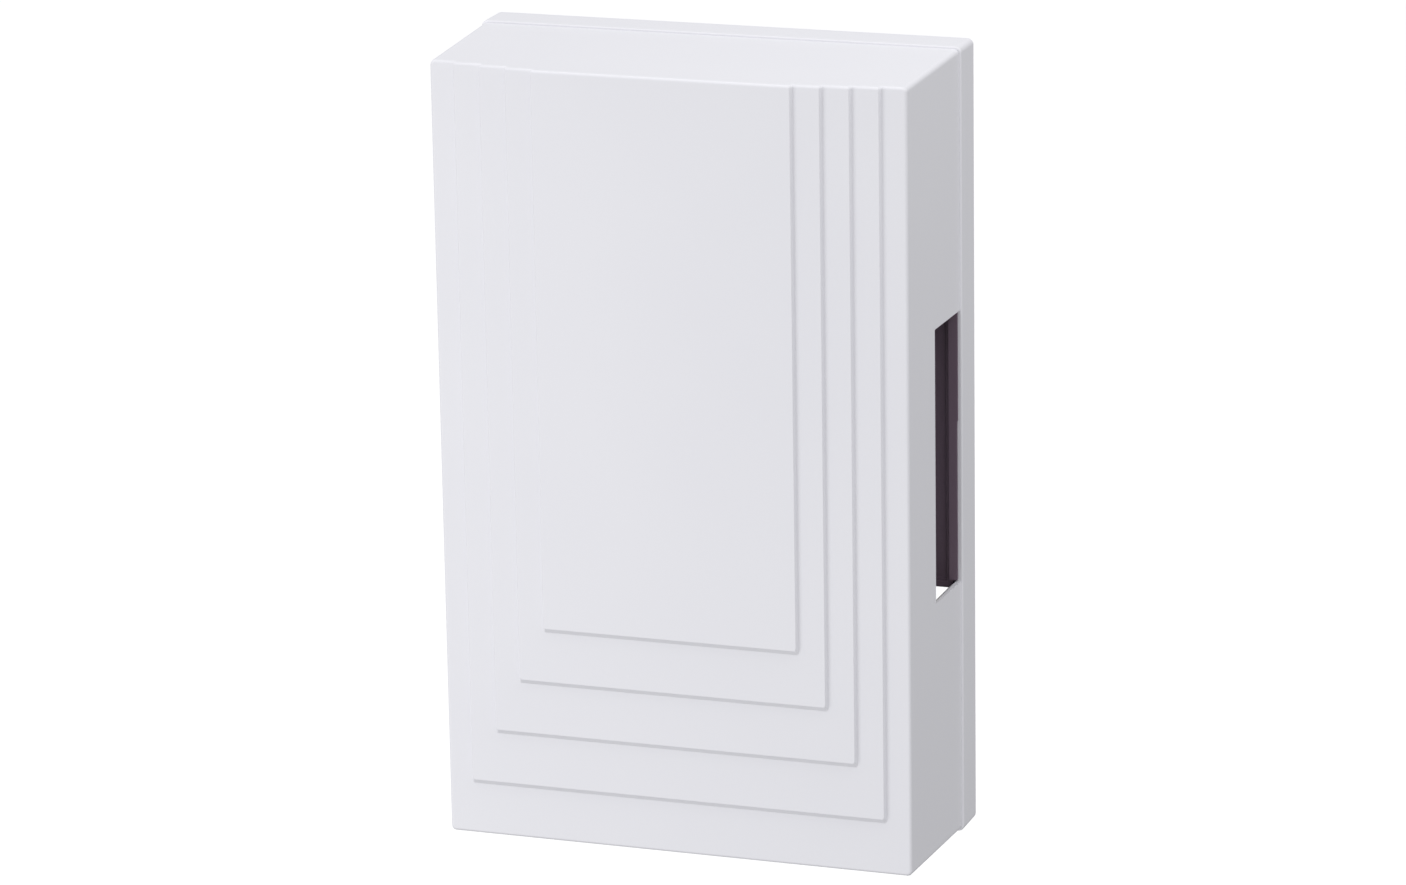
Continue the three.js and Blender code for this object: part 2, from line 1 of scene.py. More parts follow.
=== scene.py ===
import math

import bmesh
import bpy
from mathutils import Matrix, Vector


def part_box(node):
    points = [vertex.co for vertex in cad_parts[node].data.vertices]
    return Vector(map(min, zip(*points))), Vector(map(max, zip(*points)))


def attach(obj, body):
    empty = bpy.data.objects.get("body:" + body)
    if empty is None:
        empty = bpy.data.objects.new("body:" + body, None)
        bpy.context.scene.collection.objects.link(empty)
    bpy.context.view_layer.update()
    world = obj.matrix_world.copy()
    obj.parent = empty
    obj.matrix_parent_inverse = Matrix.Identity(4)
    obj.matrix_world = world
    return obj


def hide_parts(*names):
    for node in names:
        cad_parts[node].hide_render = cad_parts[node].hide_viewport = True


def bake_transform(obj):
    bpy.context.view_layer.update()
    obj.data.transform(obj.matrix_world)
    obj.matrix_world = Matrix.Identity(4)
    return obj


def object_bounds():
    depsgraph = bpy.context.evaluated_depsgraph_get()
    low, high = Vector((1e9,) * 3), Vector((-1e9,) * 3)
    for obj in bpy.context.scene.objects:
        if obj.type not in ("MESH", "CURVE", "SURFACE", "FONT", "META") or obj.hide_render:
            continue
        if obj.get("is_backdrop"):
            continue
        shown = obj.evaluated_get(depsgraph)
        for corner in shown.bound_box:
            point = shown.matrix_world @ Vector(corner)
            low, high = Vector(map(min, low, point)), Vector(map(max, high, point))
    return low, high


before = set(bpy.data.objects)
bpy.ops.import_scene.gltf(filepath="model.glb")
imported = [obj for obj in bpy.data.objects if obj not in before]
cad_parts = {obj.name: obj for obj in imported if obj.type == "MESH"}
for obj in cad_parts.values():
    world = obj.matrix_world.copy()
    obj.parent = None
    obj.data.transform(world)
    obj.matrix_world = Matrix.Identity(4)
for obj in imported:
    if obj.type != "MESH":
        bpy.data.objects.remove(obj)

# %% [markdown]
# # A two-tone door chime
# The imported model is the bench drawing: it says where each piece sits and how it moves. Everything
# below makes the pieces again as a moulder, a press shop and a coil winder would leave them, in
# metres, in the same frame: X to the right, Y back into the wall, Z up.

MM = 0.001
CLOSE = 0.02 * MM
MERGE = MM / 500


def mm(*values):
    """Millimetres to metres."""
    return [value * MM for value in values]


def centre(node):
    """The middle of a node's box in the drawing."""
    low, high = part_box(node)
    return (Vector(low) + Vector(high)) / 2


cad_low, cad_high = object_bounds()
print("drawing box, mm:", [round(v / MM, 1) for v in (*cad_low, *cad_high)])

# %% [markdown]
# ## Working by hand in code
# Each piece starts from a primitive, goes into edit mode, and has its faces and edges picked by
# where they are. Loading the drawing leaves its nodes selected, and an operator acts on all that is
# selected, so `only` clears the bench before each piece. `pick` is the mouse: it selects what
# passes a test.

# %% Selecting
def clear():
    bpy.ops.object.select_all(action="DESELECT")


def only(piece):
    """Leave just this piece selected and active."""
    clear()
    piece.select_set(True)
    bpy.context.view_layer.objects.active = piece


def edit(piece):
    only(piece)
    bpy.ops.object.mode_set(mode="EDIT")


def pick(kind, test):
    """In edit mode, select the vertices, edges or faces whose corners all pass the test."""
    bpy.ops.mesh.select_mode(type=kind)
    bpy.ops.mesh.select_all(action="DESELECT")
    mesh = bmesh.from_edit_mesh(bpy.context.object.data)
    parts = {"VERT": mesh.verts, "EDGE": mesh.edges, "FACE": mesh.faces}[kind]
    for part in parts:
        corners = [part] if kind == "VERT" else part.verts
        if all(test(corner.co) for corner in corners):
            part.select_set(True)
    bmesh.update_edit_mesh(bpy.context.object.data)


def near(a, b):
    return abs(a - b) < CLOSE


def move(x=0.0, y=0.0, z=0.0):
    bpy.ops.transform.translate(value=(x, y, z))


def everything():
    bpy.ops.mesh.select_all(action="SELECT")


def face_outwards():
    """In edit mode, turn the front of every face to the outside."""
    everything()
    bpy.ops.mesh.normals_make_consistent(inside=False)


def extrude(push):
    bpy.ops.mesh.extrude_region_move(TRANSFORM_OT_translate={"value": push})


def bevel(width, segments):
    bpy.ops.mesh.bevel(offset=width, segments=segments, affect="EDGES")


def done():
    bpy.ops.object.mode_set(mode="OBJECT")

# %% [markdown]
# ## Starting shapes
# Boxes and rods are primitives, added at their size and place. Applying the scale at once matters:
# a bevel on a scaled object would come out wider one way than the other.

# %% Boxes and rods
def settle(piece):
    """Put the piece's place, turn and scale into its mesh."""
    only(piece)
    bpy.ops.object.transform_apply(location=True, rotation=True, scale=True)
    return piece


def box(name, low, high):
    low, high = Vector(low), Vector(high)
    clear()
    bpy.ops.mesh.primitive_cube_add(size=1, location=(low + high) / 2, scale=high - low)
    piece = bpy.context.object
    piece.name = name
    return settle(piece)


ALONG = {"X": (0, math.pi / 2, 0), "Y": (math.pi / 2, 0, 0), "Z": (0, 0, 0)}


def rod(name, axis, start, end, radius, at=(0, 0), sides=48):
    """A round bar along an axis, from start to end, at the two other coordinates."""
    middle = list(at)
    middle.insert("XYZ".index(axis), (start + end) / 2)
    clear()
    bpy.ops.mesh.primitive_cylinder_add(
        vertices=sides, radius=radius, depth=abs(end - start), location=middle,
        rotation=ALONG[axis],
    )
    piece = bpy.context.object
    piece.name = name
    return settle(piece)


def pins(places, start, end, radius, sides=24):
    """A rod along Y at each (x, z) place, all in millimetres."""
    return [rod("pin", "Y", start * MM, end * MM, radius * MM, mm(x, z), sides) for x, z in places]


def round_corners(piece, test, radius, segments):
    """In edit mode, bevel the edges whose two ends pass the test."""
    bpy.ops.mesh.select_mode(type="EDGE")
    bpy.ops.mesh.select_all(action="DESELECT")
    mesh = bmesh.from_edit_mesh(piece.data)
    for edge in mesh.edges:
        if test(edge.verts[0].co, edge.verts[1].co):
            edge.select_set(True)
    bmesh.update_edit_mesh(piece.data)
    bevel(radius, segments)


def rounded(name, low, high, radius, axis="Y", segments=5):
    """A box whose edges along one axis are rounded, the shape of most windows and plates."""
    piece = box(name, low, high)
    across = [i for i in range(3) if i != "XYZ".index(axis)]
    edit(piece)
    round_corners(piece, lambda a, b: all(near(a[i], b[i]) for i in across), radius, segments)
    done()
    return piece

# %% [markdown]
# Other shapes start as an outline, drawn by extruding one vertex from point to point. `prism`
# pushes a closed outline straight, and `turn` spins a profile about an axis, as a lathe would. Of a
# symmetrical outline only half is written down: `mirrored` adds the rest.

# %% Outlines, spun and extruded
def mirrored(half):
    """Half an outline and its mirror image, as one run of points."""
    return half + [(-first, second) for first, second in reversed(half)]


def chain(name, points, closed=False):
    """A run of edges, drawn by extruding one vertex from point to point."""
    clear()
    bpy.ops.mesh.primitive_plane_add(size=MM, location=(0, 0, 0))
    piece = bpy.context.object
    piece.name = name
    edit(piece)
    bpy.ops.mesh.select_mode(type="VERT")
    everything()
    bpy.ops.mesh.merge(type="CENTER")
    bpy.ops.transform.translate(value=points[0])
    last = Vector(points[0])
    for point in points[1:]:
        step = Vector(point) - last
        bpy.ops.mesh.extrude_vertices_move(TRANSFORM_OT_translate={"value": step})
        last = Vector(point)
    if closed:
        everything()
        bpy.ops.mesh.edge_face_add()
    done()
    return piece


def turn(name, axis, profile, at=(0, 0), sides=48):
    """Spin (along, radius) points, in millimetres, about an axis at the two other coordinates."""
    index = "XYZ".index(axis)
    origin = list(at)
    origin.insert(index, 0.0)
    radial = (index + 1) % 3
    points = []
    for along, radius in profile:
        point = list(origin)
        point[index] = along * MM
        point[radial] += radius * MM
        points.append(point)
    piece = chain(name, points)
    edit(piece)
    everything()
    direction = [0.0, 0.0, 0.0]
    direction[index] = 1.0
    bpy.ops.mesh.spin(steps=sides, angle=math.tau, center=origin, axis=direction)
    everything()
    bpy.ops.mesh.remove_doubles(threshold=MERGE)
    face_outwards()
    done()
    return piece


def prism(name, outline, push):
    """A flat outline of (x, y, z) points, extruded by a push."""
    piece = chain(name, outline, closed=True)
    edit(piece)
    everything()
    extrude(push)
    face_outwards()
    done()
    return piece

# %% [markdown]
# `modify` adds a modifier and applies it at once. `cut` and `weld` use it to take one solid from
# another, and to join them; `ease` rounds sharp edges. The exact solver is slower than the fast
# one, but it copes with faces that lie in one plane.

# %% Modifiers
def modify(piece, kind, **settings):
    only(piece)
    modifier = piece.modifiers.new(kind.title(), kind)
    for name, value in settings.items():
        setattr(modifier, name, value)
    bpy.ops.object.modifier_apply(modifier=modifier.name)
    return piece


def boolean(piece, tools, operation):
    for tool in tools:
        modify(piece, "BOOLEAN", operation=operation, object=tool, solver="EXACT")
        bpy.data.objects.remove(tool)


def cut(piece, *tools):
    boolean(piece, tools, "DIFFERENCE")


def weld(piece, *others):
    boolean(piece, others, "UNION")


def ease(piece, width, segments=2, angle=40):
    """Round every edge sharper than the angle, as a mould or a tumbling drum does."""
    return modify(
        piece, "BEVEL", width=width, segments=segments, limit_method="ANGLE",
        angle_limit=math.radians(angle), use_clamp_overlap=True, miter_outer="MITER_ARC",
    )


def copied(piece, name, mirror_x=False, offset=(0, 0, 0)):
    """A copy with its own mesh, moved, or reflected left to right."""
    twin = piece.copy()
    twin.data = piece.data.copy()
    twin.name = name
    bpy.context.scene.collection.objects.link(twin)
    if mirror_x:
        twin.scale = (-1, 1, 1)
    twin.location = offset
    settle(twin)
    if mirror_x:
        edit(twin)
        face_outwards()
        done()
    return twin

# %% [markdown]
# ## Putting a piece on the object
# `fit` is the last step for every piece: it smooths the shading, gives it its finish, hangs it on
# an empty for the body that carries it, and hides the drawing's node that it stands for. Weighted
# normals keep wide moulded faces flat right up to their rounded edges.

# %% Fitting a piece
nodes_made = []


def fit(piece, nodes, body, material, smooth=35, weighted=True):
    """Shade, paint and place a piece; an angle in degrees says which edges still look sharp."""
    only(piece)
    bpy.ops.object.shade_smooth_by_angle(angle=math.radians(smooth))
    if weighted:
        modify(piece, "WEIGHTED_NORMAL", mode="FACE_AREA", weight=80, keep_sharp=True)
    piece.data.materials.clear()
    piece.data.materials.append(material)
    if body:
        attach(piece, body)
    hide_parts(*nodes)
    nodes_made.extend(nodes)
    print(f"{piece.name}: {len(piece.data.polygons)} faces")

# %% [markdown]
# ## The view and the stage
# The camera is a long lens a metre away, turned a little to the left and tilted down, so the chime
# shows its front, its top and its right side with almost parallel edges. The chime hangs free here
# as it would on a wall, over a wide pale floor, inside a bright tent like a photographer's.

# %% Camera
CAMERA_PLACE = Vector((316.2, -929.2, 276.3)) * MM
CAMERA_TURN = math.radians(19.15)
CAMERA_TILT = math.radians(15.97)
CAMERA_ROLL = math.radians(-0.92)
LENS_MM, SENSOR_MM = 153.5, 36
NEAREST, FARTHEST = 0.05, 30

camera = bpy.data.objects.new("camera", bpy.data.cameras.new("camera"))
bpy.context.scene.collection.objects.link(camera)
camera.data.lens = LENS_MM
camera.data.sensor_width = SENSOR_MM
camera.data.clip_start = NEAREST
camera.data.clip_end = FARTHEST
camera.matrix_world = (
    Matrix.Translation(CAMERA_PLACE)
    @ Matrix.Rotation(CAMERA_TURN, 4, "Z")
    @ Matrix.Rotation(math.pi / 2 - CAMERA_TILT, 4, "X")
    @ Matrix.Rotation(CAMERA_ROLL, 4, "Z")
)
bpy.context.scene.camera = camera
bpy.context.scene.view_settings.view_transform = "Standard"
print("camera, m:", [round(v, 3) for v in camera.location])

# %% [markdown]
# ## Finishes
# Every finish is a small node tree. `linear` turns an sRGB hex value into the linear colour Blender
# works in. `add` puts in one node, with its settings and links. `tune` sets the values that are the
# same all over straight on the surface shader. `two_tones` mixes two close colours, and `skin` lets
# fine marks steer both roughness and bump.

# %% Material toolkit
def linear(code):
    channels = [int(code[i:i + 2], 16) / 255 for i in (1, 3, 5)]
    return (*[c / 12.92 if c <= 0.04045 else ((c + 0.055) / 1.055) ** 2.4 for c in channels], 1.0)


def add(tree, kind, sockets=None, **settings):
    made = tree.nodes.new("ShaderNode" + kind)
    for name, value in settings.items():
        setattr(made, name, value)
    for name, value in (sockets or {}).items():
        if isinstance(value, bpy.types.NodeSocket):
            tree.links.new(value, made.inputs[name])
        else:
            made.inputs[name].default_value = value
    return made


def tune(material, **values):
    shader = material.node_tree.nodes["Principled BSDF"]
    for socket, value in values.items():
        shader.inputs[socket.replace("_", " ")].default_value = value
    return shader


def shader_for(name, **values):
    material = bpy.data.materials.new(name)
    material.use_nodes = True
    return material, material.node_tree, tune(material, **values)


def per_metre(size_mm):
    """The texture scale that gives marks of this size."""
    return 1 / (size_mm * MM)


def two_tones(tree, share, light, dark):
    """A colour that goes from the light tone to the dark one as the share grows."""
    mix = add(tree, "Mix", {0: share}, data_type="RGBA")
    mix.inputs[6].default_value = linear(light)
    mix.inputs[7].default_value = linear(dark)
    return mix.outputs[2]


def skin(tree, shader, tone, marks, smoothest, roughest, strength, relief_mm):
    """Give the shader a tone, and a roughness and a relief that follow the marks."""
    gloss = add(tree, "MapRange", {
        "Value": marks, "From Min": 0.3, "From Max": 0.7,
        "To Min": smoothest, "To Max": roughest,
    })
    bump = add(tree, "Bump", {
        "Height": marks, "Strength": strength, "Distance": relief_mm * MM,
    })
    tree.links.new(tone, shader.inputs["Base Color"])
    tree.links.new(gloss.outputs["Result"], shader.inputs["Roughness"])
    tree.links.new(bump.outputs["Normal"], shader.inputs["Normal"])

# %% [markdown]
# ### Moulded plastics
# A moulding copies the skin of its steel tool. A spark-eroded tool leaves a fine, even grain that
# softens the highlights, and slow flow of the melt leaves faint differences in tone over a few
# centimetres. Both are noise here: one fine, for bump and roughness, and one slow, for colour. Real
# grain is about 0.05 mm; it is drawn coarser, so that it still shows at arm's length.

# %% Moulded plastic
PLASTIC_IOR = 1.53
FLOW_MM = 38


def moulded(name, light, dark, grain_mm, roughness, relief_mm):
    material, tree, shader = shader_for(name, IOR=PLASTIC_IOR)
    place = add(tree, "TexCoord").outputs["Object"]
    grain = add(tree, "TexNoise", {
        "Vector": place, "Scale": per_metre(grain_mm), "Detail": 3.0, "Roughness": 0.6,
    })
    flow = add(tree, "TexNoise", {
        "Vector": place, "Scale": per_metre(FLOW_MM), "Detail": 2.0,
    })
    tone = two_tones(tree, flow.outputs["Fac"], light, dark)
    marks = grain.outputs["Fac"]
    skin(tree, shader, tone, marks, roughness - 0.04, roughness + 0.05, 0.6, relief_mm)
    return material


white_abs = moulded("abs_white_spark_eroded", "#EAEAEE", "#E6E6EB", 0.32, 0.38, 0.012)
dark_abs = moulded("abs_dark_grey_chassis", "#746271", "#6A5967", 0.28, 0.52, 0.02)
black_nylon = moulded("nylon_black_bobbin", "#26252A", "#1E1D21", 0.22, 0.46, 0.012)
ivory_pbt = moulded("pbt_ivory_terminal", "#DDD6C2", "#D3CBB5", 0.25, 0.42, 0.01)
print("moulded:", [made.name for made in (white_abs, dark_abs, black_nylon, ivory_pbt)])

# %% [markdown]
# ### Natural nylon and rubber
# Unfilled nylon lets a little light in, which rounds off its shadows, so it gets some subsurface
# scattering. Moulded rubber is nearly black, scatters light widely, and picks up grey bloom and
# dust in patches.

# %% Nylon and rubber
nylon = moulded("nylon_natural", "#ECE5D2", "#E2DAC4", 0.3, 0.4, 0.006)
tune(nylon, Subsurface_Weight=0.35, Subsurface_Radius=(0.9, 0.8, 0.6), Subsurface_Scale=1.0 * MM)
rubber = moulded("rubber_black_moulded", "#2A292B", "#1A191B", 0.5, 0.78, 0.02)
print("soft parts:", nylon.name, rubber.name)

# %% [markdown]
# ### Metals
# Sheet steel carries the lines of the rolls or the belt that finished it, all one way: noise
# squeezed across the lines and stretched along them. Zinc plate adds slow cloudy patches.
# `worked_metal` takes the size of a mark along X, Y and Z, so the same tree gives brushed bars,
# drawn tube and plated strip.

# %% Worked metal
def worked_metal(name, light, dark, marks_mm, roughness, relief_mm, cloud_mm=9.0):
    material, tree, shader = shader_for(name, Metallic=1.0)
    place = add(tree, "TexCoord").outputs["Object"]
    squeezed = add(tree, "Mapping", {
        "Vector": place, "Scale": [per_metre(size) for size in marks_mm],
    })
    lines = add(tree, "TexNoise", {
        "Vector": squeezed.outputs["Vector"], "Scale": 1.0, "Detail": 4.0, "Roughness": 0.65,
    })
    cloud = add(tree, "TexNoise", {
        "Vector": place, "Scale": per_metre(cloud_mm), "Detail": 3.0,
    })
    marks = lines.outputs["Fac"]
    blend = add(tree, "Math", {0: marks, 1: cloud.outputs["Fac"]}, operation="MULTIPLY")
    spread = add(tree, "MapRange", {
        "Value": blend.outputs[0], "From Min": 0.12, "From Max": 0.42,
    })
    tone = two_tones(tree, spread.outputs["Result"], light, dark)
    skin(tree, shader, tone, marks, roughness - 0.06, roughness + 0.08, 0.5, relief_mm)
    return material


tone_steel = worked_metal("steel_belt_ground", "#C6C8CA", "#9EA1A5", (0.25, 0.25, 14.0), 0.3, 0.012)
zinc_plate = worked_metal("steel_zinc_plated", "#CFCFC8", "#A8ABA9", (0.5,) * 3, 0.36, 0.006, 6.0)
spring_wire = worked_metal("spring_steel_drawn", "#A4A6A8", "#7F8286", (0.8, 0.2, 0.2), 0.3, 0.005)
turned_steel = worked_metal("steel_turned", "#C3C5C7", "#9B9EA2", (0.18, 6.0, 6.0), 0.26, 0.008)
brass = worked_metal("brass_drawn", "#D2B06A", "#B08C45", (2.5, 0.3, 0.3), 0.28, 0.005)
metals = (tone_steel, zinc_plate, spring_wire, turned_steel, brass)
print("metals:", [made.name for made in metals])

# %% [markdown]
# ### Enamelled copper and wire insulation
# Winding wire is copper under a clear amber enamel, so the metal takes a coat of its own. Bell wire
# insulation is soft extruded PVC: glossy, a little uneven, in plain red.

# %% Copper and insulation
copper = worked_metal("copper_enamelled", "#C8763F", "#9A4C22", (0.4, 2.0, 2.0), 0.3, 0.004)
tune(copper, Coat_Weight=0.7, Coat_Roughness=0.12, Coat_Tint=linear("#F4C98C"))
red_pvc = moulded("pvc_red_insulation", "#B0322A", "#98261F", 0.9, 0.3, 0.01)
print("wires:", copper.name, red_pvc.name)

# %% [markdown]
# ### Stage and light
# The chime is white on white, so the light has to draw it. The tent is brightest overhead and a
# little in front, for a bright top, a slightly greyer front and a darker right side. It could be an
# image of a studio, but two numbers do: its brightness is a base plus a lean times the cosine to
# its brightest point.

# %% Sky
SKY_FROM = Vector((-0.075, -0.436, 0.897)).normalized()
SKY_BASE = 0.626
SKY_LEAN = 0.463

world = bpy.data.worlds.new("white_tent")
bpy.context.scene.world = world
world.use_nodes = True
sky = world.node_tree
direction = add(sky, "TexCoord").outputs["Generated"]
cosine = add(sky, "VectorMath", {0: direction, 1: SKY_FROM}, operation="DOT_PRODUCT")
glow = add(sky, "Math", {
    0: cosine.outputs["Value"], 1: SKY_LEAN, 2: SKY_BASE,
}, operation="MULTIPLY_ADD")
sky.nodes["Background"].inputs["Color"].default_value = (0.985, 0.985, 1.0, 1)
sky.links.new(glow.outputs[0], sky.nodes["Background"].inputs["Strength"])

print("sky from", [round(v, 2) for v in SKY_FROM])

# %% [markdown]
# The floor is a sheet of white vinyl, too large for its edge to show. It would light the chime from
# underneath and wash out the lines at the feet of the terraces. So it is hidden from diffuse and
# glossy rays, and glows faintly to stay nearly white.

# %% Floor
FLOOR_DROP = 160 * MM
FLOOR_SIZE = 14
FLOOR_GLOW = 0.16

vinyl, vinyl_tree, vinyl_shader = shader_for(
    "vinyl_white_floor", Roughness=0.9, Emission_Color=(1, 1, 1, 1), Emission_Strength=FLOOR_GLOW
)
floor_place = add(vinyl_tree, "TexCoord").outputs["Object"]
mottle = add(vinyl_tree, "TexNoise", {"Vector": floor_place, "Scale": 1.2, "Detail": 1.0})
floor_tone = two_tones(vinyl_tree, mottle.outputs["Fac"], "#FDFDFD", "#FAFAFA")
vinyl_tree.links.new(floor_tone, vinyl_shader.inputs["Base Color"])
clear()
bpy.ops.mesh.primitive_plane_add(size=FLOOR_SIZE, location=(0, 0, cad_low.z - FLOOR_DROP))
floor = settle(bpy.context.object)
floor.name = "floor"
floor.data.materials.append(vinyl)
floor.visible_diffuse = False
floor.visible_glossy = False
floor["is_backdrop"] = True
print("floor at", round(floor.data.vertices[0].co.z, 3), "m")

# %% [markdown]
# Three soft panels finish the light. The key at the left front draws each terrace: a light line on
# its left wall, a dark one on its right and at its foot. One almost overhead puts a thin highlight
# on the rounded edge between front and top, and a small card lifts the top of the right side.

# %% Soft panels
def panel(name, place, size, energy):
    """A square area light that looks at the chime."""
    light = bpy.data.objects.new(name, bpy.data.lights.new(name, "AREA"))
    bpy.context.scene.collection.objects.link(light)
    light.data.size = size
    light.data.energy = energy
    light.location = place
    light.rotation_euler = (-Vector(place)).to_track_quat("-Z", "Y").to_euler()
    light.visible_camera = False
    print(f"{name}: {energy} W")


panel("key_panel", (-0.38, -0.5, -0.12), 0.3, 1.05)
panel("top_panel", (-0.19, 0.03, 0.57), 0.2, 0.355)
panel("side_card", (0.22, -0.04, 0.22), 0.12, 0.1)

# %% [markdown]
# ## The cover
# The cover is one ABS moulding: a box with four U-shaped terraces on its front, each a frame for
# the next, all running out through the top edge. Its walls lean in by a small draft, so that it
# comes off its mould. The sizes stand in one place, because the same block is drawn twice: for the
# outside, and for the core.

# %% Cover sizes
cover_low, cover_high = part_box("front_cover")
STEP = 0.75 * MM
STEPS = 4
STEP_SLOPE, FOOT_SLOPE = mm(0.3, 0.85)
SLOPE_RANGE = mm(0.2, 0.4)
SIDE_MARGIN, SIDE_PITCH = mm(4.2, 4.75)
FOOT_MARGIN, FOOT_PITCH = mm(8.95, 9.55)
STEP_CORNER = 0.35 * MM
TOP_BAND = 0.2 * MM
WALL = 2.0 * MM
COVER_CORNER = 0.8 * MM
CROWN_R, CREST_R = mm(0.5, 0.09)
part_y = cover_high.y
frame_y = cover_low.y + STEP * STEPS
draft = 0.75 * MM / (part_y - frame_y)
rear_half = Vector((cover_high.x, 0, cover_high.z))
print("cover, mm:", [round(v / MM, 2) for v in (*rear_half, part_y, frame_y)])


def half_size(y, inset=0.0):
    """Half the width and half the height of the drafted walls at a depth."""
    taper = draft * (part_y - y) + inset
    return rear_half.x - taper, rear_half.z - taper

# %% [markdown]
# The terraces could be stacked from plates with booleans, but then the steps could not slope. Drawn
# as one skin they can. The top is taken off, and the front face is inset on three sides, since an
# open edge isn't inset. Its foot is moved to a margin of its own, the face is pushed forward, and
# its edge is drawn in: little at the sides, more at the foot. Then the same again.

# %% The stepped block
def stepped_block(name, inset, front_y, rear_y, corner):
    """The closed block with its terraces, smaller than the cover's outside by the inset."""
    half_w, half_h = half_size(front_y, inset)
    block = box(name, (-half_w, front_y, -half_h), (half_w, rear_y, half_h))
    edit(block)
    pick("FACE", lambda c: near(c.z, half_h))
    bpy.ops.mesh.delete(type="FACE")
    level = front_y
    inner_w, foot = half_w, -half_h
    on_top = lambda c: near(c.y, level) and abs(c.x) < inner_w + CLOSE and c.z > foot - CLOSE
    for step in range(STEPS):
        margin = SIDE_MARGIN if step == 0 else SIDE_PITCH - STEP_SLOPE
        foot_margin = FOOT_MARGIN if step == 0 else FOOT_PITCH - FOOT_SLOPE
        pick("FACE", on_top)
        bpy.ops.mesh.inset(thickness=margin, use_boundary=False)
        inner_w -= margin
        foot += margin
        pick("VERT", lambda c: on_top(c) and near(c.z, foot))
        move(z=foot_margin - margin)
        foot += foot_margin - margin
        pick("FACE", on_top)
        extrude((0, -STEP, 0))
        level -= STEP
        for side in (-1, 1):
            pick("VERT", lambda c: near(c.y, level) and near(c.x, side * inner_w))
            move(x=-side * STEP_SLOPE)
        pick("VERT", lambda c: near(c.y, level) and near(c.z, foot))
        move(z=FOOT_SLOPE)
        inner_w -= STEP_SLOPE
        foot += FOOT_SLOPE
        pick("FACE", lambda c: near(c.z, half_h))
        bpy.ops.mesh.delete(type="FACE")
    for y in (rear_y, *[front_y - STEP * (step + 1) for step in range(STEPS)]):
        wide, high = half_size(y, inset)
        pick("VERT", lambda c: near(c.y, y))
        bpy.ops.transform.resize(
            value=(wide / half_w, 1, high / half_h), center_override=(0, 0, 0)
        )
    pick("EDGE", lambda c: c.z > half_h - TOP_BAND)
    bpy.ops.mesh.edge_face_add()

    def step_corner(a, b):
        across = abs(a.x - b.x)
        slanted = near(abs(a.y - b.y), STEP) and SLOPE_RANGE[0] < across < SLOPE_RANGE[1]
        at_foot = abs(a.z - b.z) > SLOPE_RANGE[1] and a.z < half_h - 5 * MM
        return slanted and at_foot and min(a.y, b.y) < front_y - CLOSE

    def wall_corner(a, b):
        on_wall = min(a.y, b.y) > front_y - CLOSE and abs(a.x) > half_w - 1 * MM
        return on_wall and abs(a.y - b.y) > 5 * MM

    round_corners(block, step_corner, STEP_CORNER, 4)
    round_corners(block, wall_corner, corner, 3)
    done()
    return block


cover = stepped_block("cover_shell", 0.0, frame_y, part_y, COVER_CORNER)
print("cover block:", len(cover.data.polygons), "faces")

# %% [markdown]
# The insets leave lines across flat faces, which hold a bevel back, so flat neighbours are merged
# first. A wide bevel then rounds the crown (the edge between terraces and top) and the front edges
# of the walls, and a narrow one takes every crest and root of the steps.

# %% Rounding the cover's edges
edit(cover)
frame_w, frame_h = half_size(frame_y)
crown = lambda c: c.y < frame_y + CLOSE and c.z > frame_h - TOP_BAND
rim = lambda c: near(c.y, frame_y) and (abs(c.x) > frame_w - 1 * MM or c.z < 1 * MM - frame_h)
everything()
bpy.ops.mesh.dissolve_limited(angle_limit=math.radians(0.3))
pick("EDGE", lambda c: crown(c) or rim(c))
bevel(CROWN_R, 4)
done()
ease(cover, CREST_R, 2, 42)
print("cover outside:", len(cover.data.polygons), "faces")

# %% [markdown]
# The inside of a moulding follows its outside, one wall thickness in, so that it cools evenly and
# doesn't sink. The same block, drawn smaller, is the core that hollows it. The sound slots are cut
# from the parting edge inward, and flare towards the inside, which leaves only a thin edge to be
# seen.

# %% Hollowing and slotting the cover
SLOT_HALF = 23.5 * MM
SLOT_DEPTH = 13.2 * MM
SLOT_EDGE = 0.6 * MM
SLOT_FLARE = 1.8 * MM

core = stepped_block("cover_core", WALL, frame_y + WALL, part_y + 1 * MM, COVER_CORNER)
cut(cover, core)


def slot_tool():
    """The solid that cuts the right slot: a straight block with a flared one inside it."""
    face = half_size(part_y - SLOT_DEPTH / 2)[0]
    neck = face - SLOT_EDGE
    front_y, rear_y = part_y - SLOT_DEPTH, part_y + 2 * MM
    tool = box("slot_tool", (neck, front_y, -SLOT_HALF), (face + 3 * MM, rear_y, SLOT_HALF))
    edit(tool)
    pick("FACE", lambda c: near(c.x, neck))
    extrude((-WALL, 0, 0))
    for end in (-1, 1):
        pick("VERT", lambda c: c.x < neck - CLOSE and near(c.z, end * SLOT_HALF))
        move(z=end * SLOT_FLARE)
    pick("VERT", lambda c: c.x < neck - CLOSE and near(c.y, front_y))
    move(y=-SLOT_FLARE)
    done()
    return tool


right_tool = slot_tool()
left_tool = copied(right_tool, "slot_tool_left", mirror_x=True)
cut(cover, right_tool, left_tool)
fit(cover, ["front_cover"], "cover", white_abs, smooth=32)

# %% [markdown]
# ## The tray
# The tray is the part that stays on the wall: a shallow moulded pan with a thin rim that stands a
# little proud of the cover all round. It is made as its mould is: a block, a core that hollows it,
# then everything that stands on the floor, and last the openings. The rim's edges are rounded
# before the openings are cut, because a mould leaves its shut-off edges sharp.

# %% Tray shell
base_low, base_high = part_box("rear_base")
FLOOR_T = 2.2 * MM
RIM = 1.2 * MM
TRAY_CORNER, BACK_EDGE, FRONT_EDGE = mm(1.0, 0.6, 0.34)
HOLLOW_CORNER, HOLLOW_ROOT = mm(0.4, 0.35)

